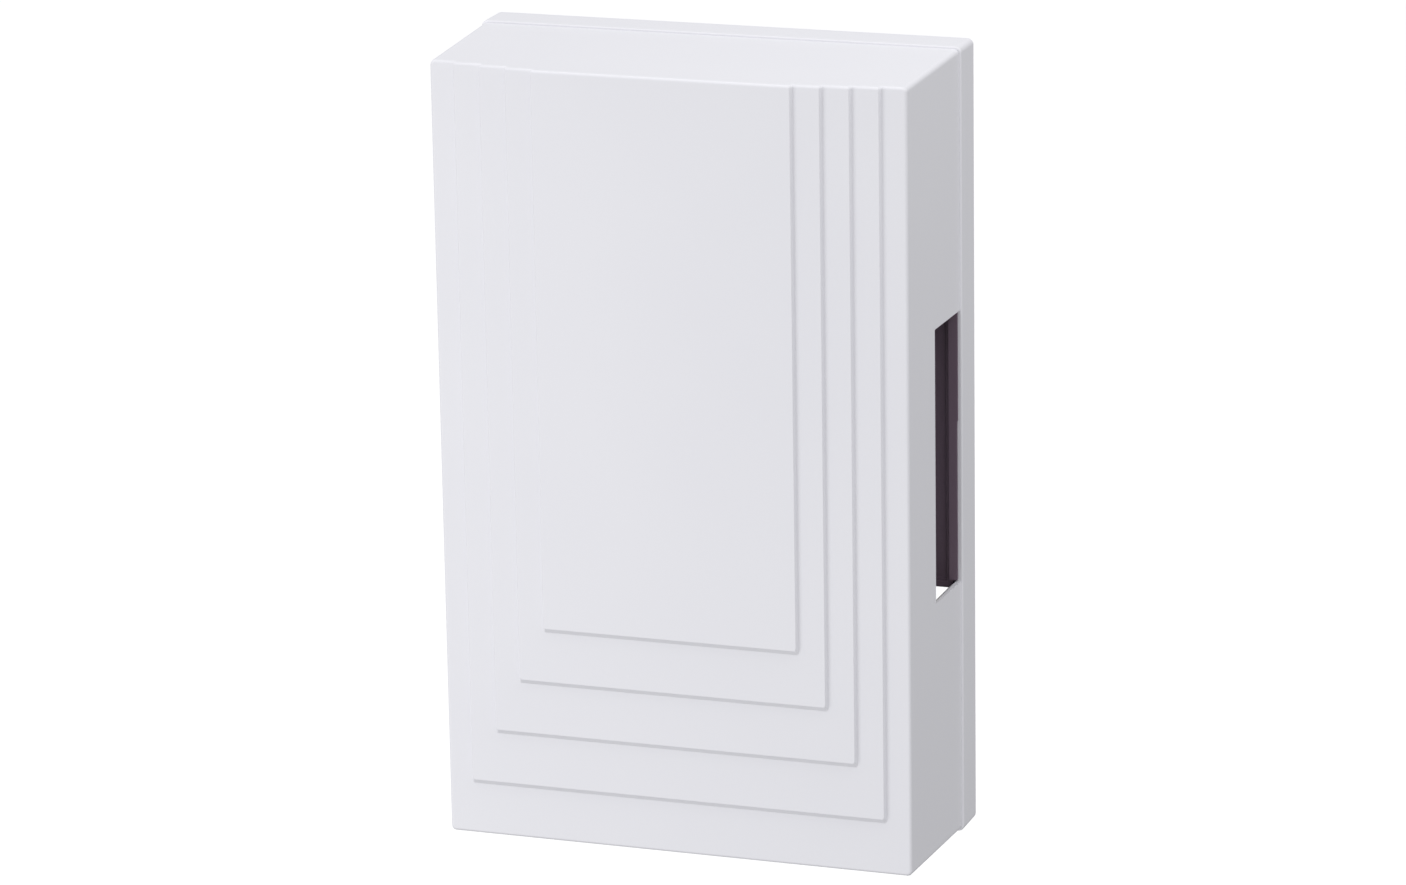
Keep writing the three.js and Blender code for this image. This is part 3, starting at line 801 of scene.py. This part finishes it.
tray = rounded("tray", (base_low.x, part_y, base_low.z), base_high, TRAY_CORNER)
edit(tray)
pick("EDGE", lambda c: near(c.y, 0))
bevel(BACK_EDGE, 2)
pick("EDGE", lambda c: near(c.y, part_y))
bevel(FRONT_EDGE, 4)
done()
hollow_low = (base_low.x + RIM, part_y - 1 * MM, base_low.z + RIM)
hollow_high = (base_high.x - RIM, -FLOOR_T, base_high.z - RIM)
hollow = rounded("tray_hollow", hollow_low, hollow_high, HOLLOW_CORNER)
edit(hollow)
pick("EDGE", lambda c: near(c.y, -FLOOR_T))
bevel(HOLLOW_ROOT, 3)
done()
cut(tray, hollow)
ease(tray, 0.18 * MM, 3)
print("tray rim, mm:", round(RIM / MM, 1), "floor, mm:", round(FLOOR_T / MM, 1))

# %% [markdown]
# Eight thin tabs stand behind the cover's wall and guide it on. Four bosses take the chassis
# screws, a raised lip round the cable window keeps the bell wires off its edge, and two low ribs
# stiffen the floor. Tabs and bosses are made once and copied.

# %% What stands on the floor
ROOT_Y = -1.2 * MM
TAB_EDGE = 0.3 * MM


def upright(x, z, front_y):
    """A box that stands on the floor, over the ranges of X and Z, in millimetres."""
    return box("upright", (x[0] * MM, front_y, z[0] * MM), (x[1] * MM, ROOT_Y, z[1] * MM))


side_tab = ease(upright((38.1, 39.35), (50, 62), base_low.y), TAB_EDGE)
end_tab = ease(upright((14, 30), (64.1, 65.35), base_low.y), TAB_EDGE)
boss = ease(rod("tray_boss", "Y", -4.5 * MM, ROOT_Y, 3.4 * MM, mm(22, 38), 40), TAB_EDGE)
standing = [side_tab, end_tab, boss]
for master, drop in ((side_tab, 112), (end_tab, 129.45), (boss, 80)):
    lower = copied(master, "lower", offset=mm(0, 0, -drop))
    standing += [lower, *[copied(half, "left", mirror_x=True) for half in (master, lower)]]
lip = rounded("cable_lip", mm(-9.4, -3.8, -62.4), (9.4 * MM, ROOT_Y, -49.6 * MM), 3 * MM)
standing.append(ease(lip, TAB_EDGE))
for x in (-16, 16):
    standing.append(ease(upright((x - 0.6, x + 0.6), (-34, 44), -3.4 * MM), 0.25 * MM))
weld(tray, *standing)
print("standing parts:", len(standing))

# %% [markdown]
# The openings come last, with sharp edges: the bores of the bosses, a port at each side, two screw
# slots, the cable window, and a keyhole (a round head below a slot). Each is a solid that is taken
# away, as a core in the mould would leave it.

# %% Openings in the tray
BACK, FRONT = mm(1, -20)
SCREW_PLACES = [(x, z) for x in (-22, 22) for z in (-42, 38)]


def window(x, z, radius):
    """A rounded hole through the floor, over the ranges of X and Z, in millimetres."""
    low, high = (x[0] * MM, FRONT, z[0] * MM), (x[1] * MM, BACK, z[1] * MM)
    return rounded("window", low, high, radius * MM)


tools = pins(SCREW_PLACES, -6, -0.9, 1.5)
for opening in (window((31, 39), (-46, -26.6), 0.8), window((21, 29), (-59.2, -54.8), 2.19)):
    tools += [opening, copied(opening, "left", mirror_x=True)]
tools.append(window((-8, 8), (-61, -51), 2))
tools.append(rod("keyhole_head", "Y", FRONT, BACK, 4.2 * MM, mm(0, 51), 48))
tools.append(window((-2.2, 2.2), (51, 61), 2.19))
cut(tray, *tools)
fit(tray, ["rear_base"], "housing", white_abs)

# %% [markdown]
# ## The chassis
# A dark grey moulding carries the mechanism, so that coil and bars come off the wall plate in one
# piece. Its outline is drawn point by point and extruded. Its front is inset and pushed back, which
# leaves a low rib all round: that is how a thin plate is kept flat. Two more ribs run across it.

# %% Chassis plate
PLATE_FRONT, PLATE_BACK = mm(-6.6, -4.8)
IN_PLATE = PLATE_FRONT + 0.5 * MM
RIB_FRONT, RIB_T = mm(-7.5, 1.2)
half_outline = [(30.6, -48), (30.6, -24.9), (40.2, -24.9), (40.2, 25.5), (37.4, 25.5), (37.4, 44)]
outline = [(x * MM, RIB_FRONT, z * MM) for x, z in mirrored(half_outline)]
chassis = prism("chassis_moulding", outline, (0, PLATE_BACK - RIB_FRONT, 0))
edit(chassis)
pick("FACE", lambda c: near(c.y, RIB_FRONT))
bpy.ops.mesh.inset(thickness=RIB_T)
extrude((0, PLATE_FRONT - RIB_FRONT, 0))
done()
ease(chassis, 0.25 * MM)
for z in (-30, 30):
    weld(chassis, box("rib", mm(-30, -7.4, z - 0.6), (30 * MM, IN_PLATE, (z + 0.6) * MM)))
print("chassis plate:", len(chassis.data.polygons), "faces")

# %% [markdown]
# Each wing of the chassis ends in a dark lip that hooks over the tray's rim inside the sound slot.
# It is painted shade: it hides the white rim, which would lie in shadow there, so the slot looks
# dark right up to the parting line. Its lower part is a little narrower, so the painted shade is
# deeper in the upper half of the slot.

# %% Dark lips over the rim, painted shade
SHADE_LIP_FRONT, SHADE_LIP_BACK = -8.4, -7.9
SHADE_LIP_IN, SHADE_LIP_OUT, SHADE_LIP_HALF = 39.8, 41.2, 23.2
# The dark lip is painted shade: it covers the white rim where the rim would lie in shadow.
lip = box("lip", mm(SHADE_LIP_IN, SHADE_LIP_FRONT, -SHADE_LIP_HALF), mm(SHADE_LIP_OUT, SHADE_LIP_BACK, SHADE_LIP_HALF))
web = box("painted_shade_lip_web", mm(SHADE_LIP_IN, SHADE_LIP_FRONT + 0.1, -SHADE_LIP_HALF), mm(40.4, -5.2, SHADE_LIP_HALF))
# The wider upper part is painted shade too: it darkens the upper half of the slot.
wide = box("painted_shade_lip_upper", mm(40.0, SHADE_LIP_FRONT + 0.05, 4.5), mm(41.32, SHADE_LIP_BACK - 0.05, 23.1))
weld(lip, web, wide)
weld(chassis, copied(lip, "painted_shade_lip_left", mirror_x=True), lip)
print("lips, mm:", SHADE_LIP_IN, "to", SHADE_LIP_OUT)

# %% [markdown]
# Each tone bar hangs on two posts, at the two heights where a free bar stands still as it rings. A
# post has a gusset behind it and a round peg in front, which goes through the bar's hole. One post
# is built at the middle height and copied to the four places, which come from the drawing's
# grommets.

# %% Posts and pegs
axis_y = centre("guide_tube").y
POST_HALF = 3.8 * MM
post_low = (26.4 * MM, axis_y - POST_HALF, -POST_HALF)
post = box("post", post_low, (30.4 * MM, PLATE_FRONT + 1.2 * MM, POST_HALF))
edit(post)
pick("VERT", lambda c: near(c.x, post_low[0]) and near(c.y, post_low[1]))
move(x=0.7 * MM)
done()
ease(post, 0.5 * MM, 3)
gusset_low = mm(22.4, -12.6, -0.8)
gusset = box("gusset", gusset_low, mm(27.2, -5.9, 0.8))
edit(gusset)
pick("VERT", lambda c: near(c.x, gusset_low[0]) and near(c.y, gusset_low[1]))
move(y=5.2 * MM)
done()
peg_profile = [(30.0, 0), (30.0, 1.6), (36.7, 1.6), (37.05, 1.45), (37.2, 1.1), (37.2, 0)]
peg = turn("peg", "X", peg_profile, (axis_y, 0), 32)
weld(post, gusset, peg)
posts = []
for side in ("left", "right"):
    for level in ("lower", "upper"):
        height = centre(f"grommet_{side}_{level}").z
        posts.append(copied(post, f"post_{side}_{level}", side == "left", (0, 0, height)))
bpy.data.objects.remove(post)
weld(chassis, *posts)
print("posts:", len(posts))

# %% [markdown]
# Behind the plate stand bosses for the screws of yoke and terminal block, and in front two low
# stops that keep the yoke square. Shallow round marks show where ejector pins pushed the moulding
# out.

# %% Screw bosses, stops, holes and ejector marks
BOSS_PLACES = [(0, -15), (0, 15), (-15, -41), (15, -41)]
bosses = pins(BOSS_PLACES, -5.3, -3, 3, 32)
stops = [box("stop", mm(-9, -7.8, z), (9 * MM, IN_PLATE, (z + 1.2) * MM)) for z in (-19.7, 18.5)]
weld(chassis, *bosses, *[ease(stop, 0.25 * MM) for stop in stops])
holes = pins(SCREW_PLACES + BOSS_PLACES, -12, 0, 1.5)
marks = pins([(x, z) for x in (-13, 13) for z in (-25, 36)], -8, -6.45, 2, 32)
cut(chassis, *holes, *marks)
fit(chassis, ["chassis"], "housing", dark_abs)

# %% [markdown]
# ## Tone bars and their mounts
# The bars are cut from ground flat steel strip: the longer one sounds the lower note. Their edges
# are broken by tumbling, and each has two punched holes. So each is a box from the drawing, with
# two rods cut from it, and a narrow bevel.

# %% Tone bars
PUNCH_R = 3.5 * MM
for side in ("left", "right"):
    low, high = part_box(f"tone_bar_{side}")
    bar = box(f"chime_bar_{side}", low, high)
    punches = []
    for level in ("lower", "upper"):
        spot = centre(f"grommet_{side}_{level}")
        ends = low.x - 1 * MM, high.x + 1 * MM
        punches.append(rod("punch", "X", *ends, PUNCH_R, (spot.y, spot.z)))
    cut(bar, *punches)
    ease(bar, 0.3 * MM, 3)
    fit(bar, [f"tone_bar_{side}"], "housing", tone_steel)

# %% [markdown]
# Each hole wears a rubber grommet, so that the bar floats, and a nylon cap pushed on the peg keeps
# the bar on it. Both are turned shapes: one profile spun round X, then copied to the four places.

# %% Grommets and caps
low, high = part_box("grommet_right_upper")
grommet_half = (high.x - low.x) / 2 / MM
flange_in = grommet_half - 1.0
half_section = [
    (flange_in, 3.2), (flange_in, 4.45), (flange_in + 0.12, 4.7), (grommet_half - 0.5, 4.8),
    (grommet_half - 0.2, 4.7), (grommet_half, 4.35), (grommet_half, 2.2), (grommet_half - 0.3, 1.9),
]
section = mirrored(half_section) + half_section[:1]
grommet = turn("grommet", "X", section, sides=40)
cap_section = [
    (0.45, 0.0), (0.45, 1.9), (-0.85, 1.9), (-1.05, 2.1), (-1.05, 3.6), (-0.75, 4.0), (0.35, 4.0),
    (0.8, 3.75), (1.05, 3.3), (0.85, 2.9), (0.85, 2.5), (1.05, 2.2), (1.05, 0.0),
]
cap = turn("cap", "X", cap_section, sides=40)
for side, mirror in (("left", True), ("right", False)):
    for level in ("lower", "upper"):
        for master, node, finish, slot_name in (
            (grommet, f"grommet_{side}_{level}", rubber, "rubber"),
            (cap, f"peg_cap_{side}_{level}", nylon, "nylon"),
        ):
            twin = copied(master, f"bar_{node}", mirror, centre(node))
            fit(twin, [node], "housing", finish)
bpy.data.objects.remove(grommet)
bpy.data.objects.remove(cap)

# %% [markdown]
# ## The solenoid
# The yoke is a strip of zinc-plated steel, blanked with two ears and bent into a U. It is drawn as
# its bent section, pushed along Z, and given the two bend radii by bevelling the four bend lines.
# The keeper closes it in front. Blanked edges are eased only a little.

# %% Yoke and keeper
yoke_low, yoke_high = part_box("yoke_frame")
STRIP, BACK_T, YOKE_HALF_W = mm(1.5, 1.4, 10.5)
SHEET_EDGE = 0.15 * MM
cheek_in = yoke_high.x - STRIP
floor_y = yoke_high.y - BACK_T
right_half = [
    (yoke_high.x, yoke_high.y), (yoke_high.x, yoke_low.y),
    (cheek_in, yoke_low.y), (cheek_in, floor_y),
]
bent = [(x, y, -YOKE_HALF_W) for x, y in mirrored(right_half)]
yoke = prism("solenoid_yoke", bent, (0, 0, 2 * YOKE_HALF_W))
edit(yoke)
along_z = lambda a, b: abs(a.z - b.z) > 5 * MM
round_corners(yoke, lambda a, b: along_z(a, b) and near(a.y, yoke_high.y), 2.0 * MM, 6)
round_corners(yoke, lambda a, b: along_z(a, b) and near(a.y, floor_y), 0.7 * MM, 4)
done()
ears_low = (-5 * MM, floor_y, yoke_low.z)
weld(yoke, rounded("ears", ears_low, (5 * MM, yoke_high.y, yoke_high.z), 2.5 * MM))
tube_hole = rod("tube_hole", "X", -20 * MM, 20 * MM, 4.9 * MM, (axis_y, 0), 64)
cut(yoke, tube_hole, *pins([(0, -15), (0, 15)], -12, 0, 1.5))
ease(yoke, SHEET_EDGE)
fit(yoke, ["yoke_frame"], "housing", zinc_plate)

keeper_low, keeper_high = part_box("yoke_keeper")
keeper = rounded("solenoid_keeper", keeper_low, keeper_high, 1.6 * MM)
cut(keeper, *pins([(-9, 0), (9, 0)], -40, -25, 2.1, 48))
ease(keeper, SHEET_EDGE)
fit(keeper, ["yoke_keeper"], "housing", zinc_plate)

# %% [markdown]
# The bobbin is a nylon spool with a lug below it, where the fine winding wire meets the two leads.
# The spool is one profile, spun; the lug is a box, with a trough cut in it for the ends of the
# wire.

# %% Bobbin
bobbin_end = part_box("coil_bobbin")[1].x / MM
FLANGE_R, HUB_R, BORE_R, FLANGE_T = 10.2, 5.6, 4.9, 1.2
flange_inner = bobbin_end - FLANGE_T
spool_half = [
    (flange_inner, HUB_R), (flange_inner, FLANGE_R - 0.3), (flange_inner + 0.3, FLANGE_R),
    (bobbin_end - 0.3, FLANGE_R), (bobbin_end, FLANGE_R - 0.3), (bobbin_end, BORE_R + 0.2),
    (bobbin_end - 0.2, BORE_R),
]
bobbin = turn("coil_spool", "X", mirrored(spool_half) + spool_half[:1], (axis_y, 0), 64)
lug = ease(box("lug", mm(10.5, -26, -11.8), mm(16.6, -12, -9)), 0.3 * MM)
trough = box("trough", mm(11.7, -24.4, -13), mm(14.3, -13.6, -10.4))
cut(lug, trough)
weld(bobbin, lug)
fit(bobbin, ["coil_bobbin"], "housing", black_nylon)

# %% [markdown]
# The coil is wound in layers, and its outside shows each turn, so its profile is a row of small
# arches, one for each turn. Real wire of this size is about 0.3 mm; it is drawn at 0.6 mm, so that
# the turns show. The right end has fewer layers, which leaves room for the wire's way to the lug.

# %% Winding
TURN_PITCH = 0.6
ARCH = ((0.08, -0.2), (0.28, -0.04), (0.5, 0.0), (0.72, -0.04), (0.92, -0.2))
coil_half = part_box("coil_winding")[1].x / MM


def arches(start, end, radius):
    """A row of bumps from start to end, whose crests touch the radius, in millimetres."""
    count = round((end - start) / TURN_PITCH)
    pitch = (end - start) / count
    points = []
    for turn_number in range(count):
        for step, height in ARCH:
            points.append((start + (turn_number + step) * pitch, radius + height))
    return points


layer_end = coil_half - 5.4
outside = arches(-coil_half, layer_end, 9.4) + arches(layer_end, coil_half, 8.5)
inside = [(coil_half, 8.2), (coil_half, 5.9), (-coil_half, 5.9), (-coil_half, 9.1)]
winding = turn("copper_winding", "X", outside + inside + outside[:1], (axis_y, 0), 64)
fit(winding, ["coil_winding"], "housing", copper, smooth=80, weighted=False)

# %% [markdown]
# A thin brass tube lines the bobbin, so that the plunger slides on metal. Its ends are slightly
# rolled, which a spun section shows better than a plain pipe would.

# %% Guide tube
tube_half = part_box("guide_tube")[1].x / MM
tube_end = [
    (tube_half - 0.15, 4.6), (tube_half, 4.5), (tube_half, 4.25), (tube_half - 0.25, 4.1),
]
tube = turn("brass_guide_tube", "X", mirrored(tube_end) + tube_end[:1], (axis_y, 0), 64)
fit(tube, ["guide_tube"], "housing", brass)

# %% [markdown]
# ## The plunger
# The plunger is a turned steel core with a nylon striker pressed into each end. The left striker
# carries a nylon collar, which the return spring pushes against. All of it is lathe work, and rides
# on the plunger's body.

# %% Core, strikers and collar
core_left, core_right = [corner.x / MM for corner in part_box("plunger_core")]
BODY_R, GROOVE_R, END_BORE_R = 3.8, 3.7, 1.5
core_section = [
    (core_left, END_BORE_R), (core_left, BODY_R - 0.4), (core_left + 0.4, BODY_R),
    (core_left + 3.0, BODY_R), (core_left + 3.1, GROOVE_R), (core_left + 3.5, GROOVE_R),
    (core_left + 3.6, BODY_R), (core_right - 0.4, BODY_R), (core_right, BODY_R - 0.4),
    (core_right, END_BORE_R), (core_left, END_BORE_R),
]
plunger = turn("steel_plunger", "X", core_section, (axis_y, 0), 64)
fit(plunger, ["plunger_core"], "plunger", turned_steel)


def striker(name, node, root, nose):
    """A nylon striker from the core's face to its domed nose, with its spigot inside the core."""
    way = 1 if nose > root else -1
    arc = [math.radians(degrees) for degrees in (0, 18, 36, 54, 72)]
    dome = [(nose - way * 1.5 * (1 - math.sin(a)), 0.9 + 1.5 * math.cos(a)) for a in arc]
    spigot = root - way * 5
    section = [(spigot, 0), (spigot, 1.0), (root - way * 4.8, 1.2), (root, 1.2), (root, 2.2)]
    section += [(root + way * 0.2, 2.4), *dome, (nose, 0.9), (nose, 0)]
    piece = turn(name, "X", section, (axis_y, 0), 40)
    fit(piece, [node], "plunger", nylon)


GAP = 0.3
left_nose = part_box("striker_tip_left")[0].x / MM
right_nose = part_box("striker_tip_right")[1].x / MM
striker("left_striker", "striker_tip_left", core_left - GAP, left_nose)
striker("right_striker", "striker_tip_right", core_right + GAP, right_nose)
front, rear = [corner.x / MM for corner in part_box("spring_collar")]
collar_section = [
    (front, 2.7), (front, 5.9), (front + 0.3, 6.2), (rear - 0.2, 6.2), (rear, 6.0), (rear, 2.7),
    (front, 2.7),
]
washer = turn("nylon_spring_collar", "X", collar_section, (axis_y, 0))
fit(washer, ["spring_collar"], "plunger", nylon)

# %% [markdown]
# The return spring is a real helix: a path is worked out point by point, with the pitch closing up
# at both ends as on a wound spring, and a round wire follows it.

# %% Wire along a path, and the spring
def wire(name, points, radius, smooth_path=False, rings=3):
    """A round wire through the points, made a closed mesh."""
    curve = bpy.data.curves.new(name, "CURVE")
    curve.dimensions = "3D"
    curve.bevel_depth = radius
    curve.bevel_resolution = rings
    curve.resolution_u = 8
    curve.use_fill_caps = True
    spline = curve.splines.new("BEZIER" if smooth_path else "POLY")
    knots = spline.bezier_points if smooth_path else spline.points
    knots.add(len(points) - 1)
    for knot, point in zip(knots, points):
        knot.co = Vector(point) if smooth_path else (*point, 1)
        if smooth_path:
            knot.handle_left_type = knot.handle_right_type = "AUTO"
    piece = bpy.data.objects.new(name, curve)
    bpy.context.scene.collection.objects.link(piece)
    only(piece)
    bpy.ops.object.convert(target="MESH")
    edit(bpy.context.object)
    everything()
    bpy.ops.mesh.remove_doubles(threshold=MERGE)
    face_outwards()
    done()
    return bpy.context.object


spring_low, spring_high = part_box("return_spring")
WIRE_R, COIL_R = mm(0.34, 5.35)
COILS, STEPS_PER_COIL = 5, 36
CLOSING = 0.11
first, last = spring_low.x + WIRE_R, spring_high.x - WIRE_R
helix = []
for step in range(COILS * STEPS_PER_COIL + 1):
    share = step / (COILS * STEPS_PER_COIL)
    eased = share - CLOSING * math.sin(math.tau * share)
    angle = math.tau * COILS * share
    x = first + (last - first) * eased
    helix.append((x, axis_y + COIL_R * math.cos(angle), COIL_R * math.sin(angle)))
spring = wire("wound_return_spring", helix, WIRE_R)
fit(spring, ["return_spring"], None, spring_wire, smooth=80, weighted=False)
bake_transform(spring)

# %% [markdown]
# ## Terminals, screws and leads
# The bell wires come in through the tray's window and go under three brass clamp plates in an ivory
# terminal block. The block is a box with two ears; its wells, wire ways and bores are cut from it,
# which leaves the thin walls between the terminals.

# %% Terminal block and clamp plates
block_low, block_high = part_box("terminal_block")
mid_z = centre("terminal_block").z
HALF_LENGTH, EAR_T, EAR_HALF = mm(12.5, 1.8, 3.2)
WELL_FLOOR, WELL_HALF, WELL_WALL, WAY_HALF = -13.5, 3.3, 1 * MM, 1.5
block_end = (HALF_LENGTH, block_high.y, block_high.z)
block = box("terminal_moulding", (-HALF_LENGTH, block_low.y, block_low.z), block_end)
ease(block, 0.4 * MM, 3)
ears_low = (block_low.x, block_high.y - EAR_T, mid_z - EAR_HALF)
ears_high = (block_high.x, block_high.y, mid_z + EAR_HALF)
weld(block, ease(rounded("block_ears", ears_low, ears_high, 2.2 * MM), 0.2 * MM))
tools = []
for x in (-8, 0, 8):
    well_low = ((x - WELL_HALF) * MM, -20 * MM, block_low.z + WELL_WALL)
    well_high = ((x + WELL_HALF) * MM, WELL_FLOOR * MM, block_high.z - WELL_WALL)
    tools.append(rounded("well", well_low, well_high, 0.5 * MM))
    tools.append(box("way", mm(x - WAY_HALF, -20, -50), mm(x + WAY_HALF, WELL_FLOOR, -30)))
    tools.append(rod("bore", "Y", -20 * MM, -8.1 * MM, 1.5 * MM, (x * MM, mid_z), 24))
tools += [rod("ear_hole", "Y", -12 * MM, 0, 1.5 * MM, (x * MM, mid_z), 24) for x in (-15, 15)]
cut(block, *tools)
fit(block, ["terminal_block"], "housing", ivory_pbt)

plate_low, plate_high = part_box("clamp_plate_2")
plate = rounded("clamp", plate_low, plate_high, 0.6 * MM)
cut(plate, rod("hole", "Y", -20 * MM, -10 * MM, 1.5 * MM, (0, mid_z), 32))
ease(plate, 0.12 * MM)
for number in (1, 2, 3):
    node = f"clamp_plate_{number}"
    twin = copied(plate, f"brass_{node}", offset=(centre(node).x, 0, 0))
    fit(twin, [node], "housing", brass)
bpy.data.objects.remove(plate)

# %% [markdown]
# The screws are all pan heads with a cross recess, turned from one profile function. Rings stand
# for the thread, which is mostly out of sight. The recess is two tapered blades, cut one after the
# other.

# %% Screws
HEAD = 1.6


def screw(name, head_r, length):
    """A pan head screw along Y, sizes in millimetres, the underside of its head at Y = 0."""
    section = [(length, 0.0), (length - 0.6, 0.9)]
    y = length - 0.6
    while y > 0.9:
        section += [(y - 0.25, 1.2), (y - 0.5, 0.9)]
        y -= 0.5
    section += [(0, 1.1), (0, head_r - 0.15), (-0.15, head_r), (-0.75, head_r)]
    section += [(-1.15, head_r * 0.92), (-1.45, head_r * 0.75), (-HEAD, head_r * 0.5), (-HEAD, 0)]
    piece = turn(name, "Y", section, sides=36)
    for long_x, long_z in ((1.5, 0.3), (0.3, 1.5)):
        blade = box("blade", mm(-long_x, -3, -long_z), mm(long_x, -0.8, long_z))
        edit(blade)
        pick("VERT", lambda c: near(c.y, -0.8 * MM))
        bpy.ops.transform.resize(value=(0.6, 1, 0.6), center_override=mm(0, -0.8, 0))
        done()
        cut(piece, blade)
    return piece


families = (
    ("terminal_screw", (1, 2, 3), 2.4, 5.2, brass, "brass"),
    ("block_screw", (1, 2), 2.3, 5.6, zinc_plate, "plated_steel"),
    ("yoke_screw", (1, 2), 2.7, 5.0, zinc_plate, "plated_steel"),
    ("chassis_screw", (1, 2, 3, 4), 2.7, 5.6, zinc_plate, "plated_steel"),
)
for family, numbers, head_r, length, finish, slot_name in families:
    master = screw(family, head_r, length)
    for number in numbers:
        node = f"{family}_{number}"
        place = centre(node)
        place.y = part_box(node)[0].y + HEAD * MM
        twin = copied(master, f"pan_head_{node}", offset=place)
        fit(twin, [node], "housing", finish)
    bpy.data.objects.remove(master)

# %% [markdown]
# Two insulated leads run from the bobbin's lug to the block. Each bends as stiff bell wire does,
# well clear of the spring and the plate, and its stripped end goes into the wire way. Both ends are
# fixed, so a lead is a shaped piece here, not a free cord.

# %% Coil leads
LUG_X, WAY_Y = 12.3, -14.65
SLEEVE_R, STRAND_R = mm(0.65, 0.3)


def lead(number, start_y, pole, bow):
    """A lead from the lug to the terminal at X = pole, bowed sideways; all in millimetres."""
    points = [
        (LUG_X, start_y, -12.2), (LUG_X, start_y + 0.3, -15),
        (LUG_X + bow * 0.4, (start_y - 9) / 2, -21), ((LUG_X + pole) / 2 + bow, -8.6, -27),
        (pole, -11, -32.5), (pole, WAY_Y, -35.6), (pole, WAY_Y, -37.2),
    ]
    path = [mm(*point) for point in points]
    sleeve = wire(f"lead_sleeve_{number}", path, SLEEVE_R, smooth_path=True)
    node = f"coil_lead_{number}"
    fit(sleeve, [node], "housing", red_pvc, smooth=80, weighted=False)
    strands = {
        "top": [mm(LUG_X, start_y, -10.9), mm(LUG_X, start_y, -12.4)],
        "foot": [mm(pole, WAY_Y, -37.0), mm(pole, WAY_Y, -37.7)],
    }
    for end, run in strands.items():
        strand = wire(f"lead_strand_{number}_{end}", run, STRAND_R)
        fit(strand, [], "housing", copper, smooth=80, weighted=False)


lead(1, -16, 8, 1.5)
lead(2, -22, 0, -1)

# %% [markdown]
# ## Check and finish
# Every node of the drawing should now have its finished piece, and the visual model should fill the
# drawing's box without passing it.

# %% Size and finish
missing = sorted(set(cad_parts) - set(nodes_made))
print("nodes without a finished piece:", missing)
low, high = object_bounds()
print("visual box, mm:", [round(v / MM, 2) for v in (*low, *high)])
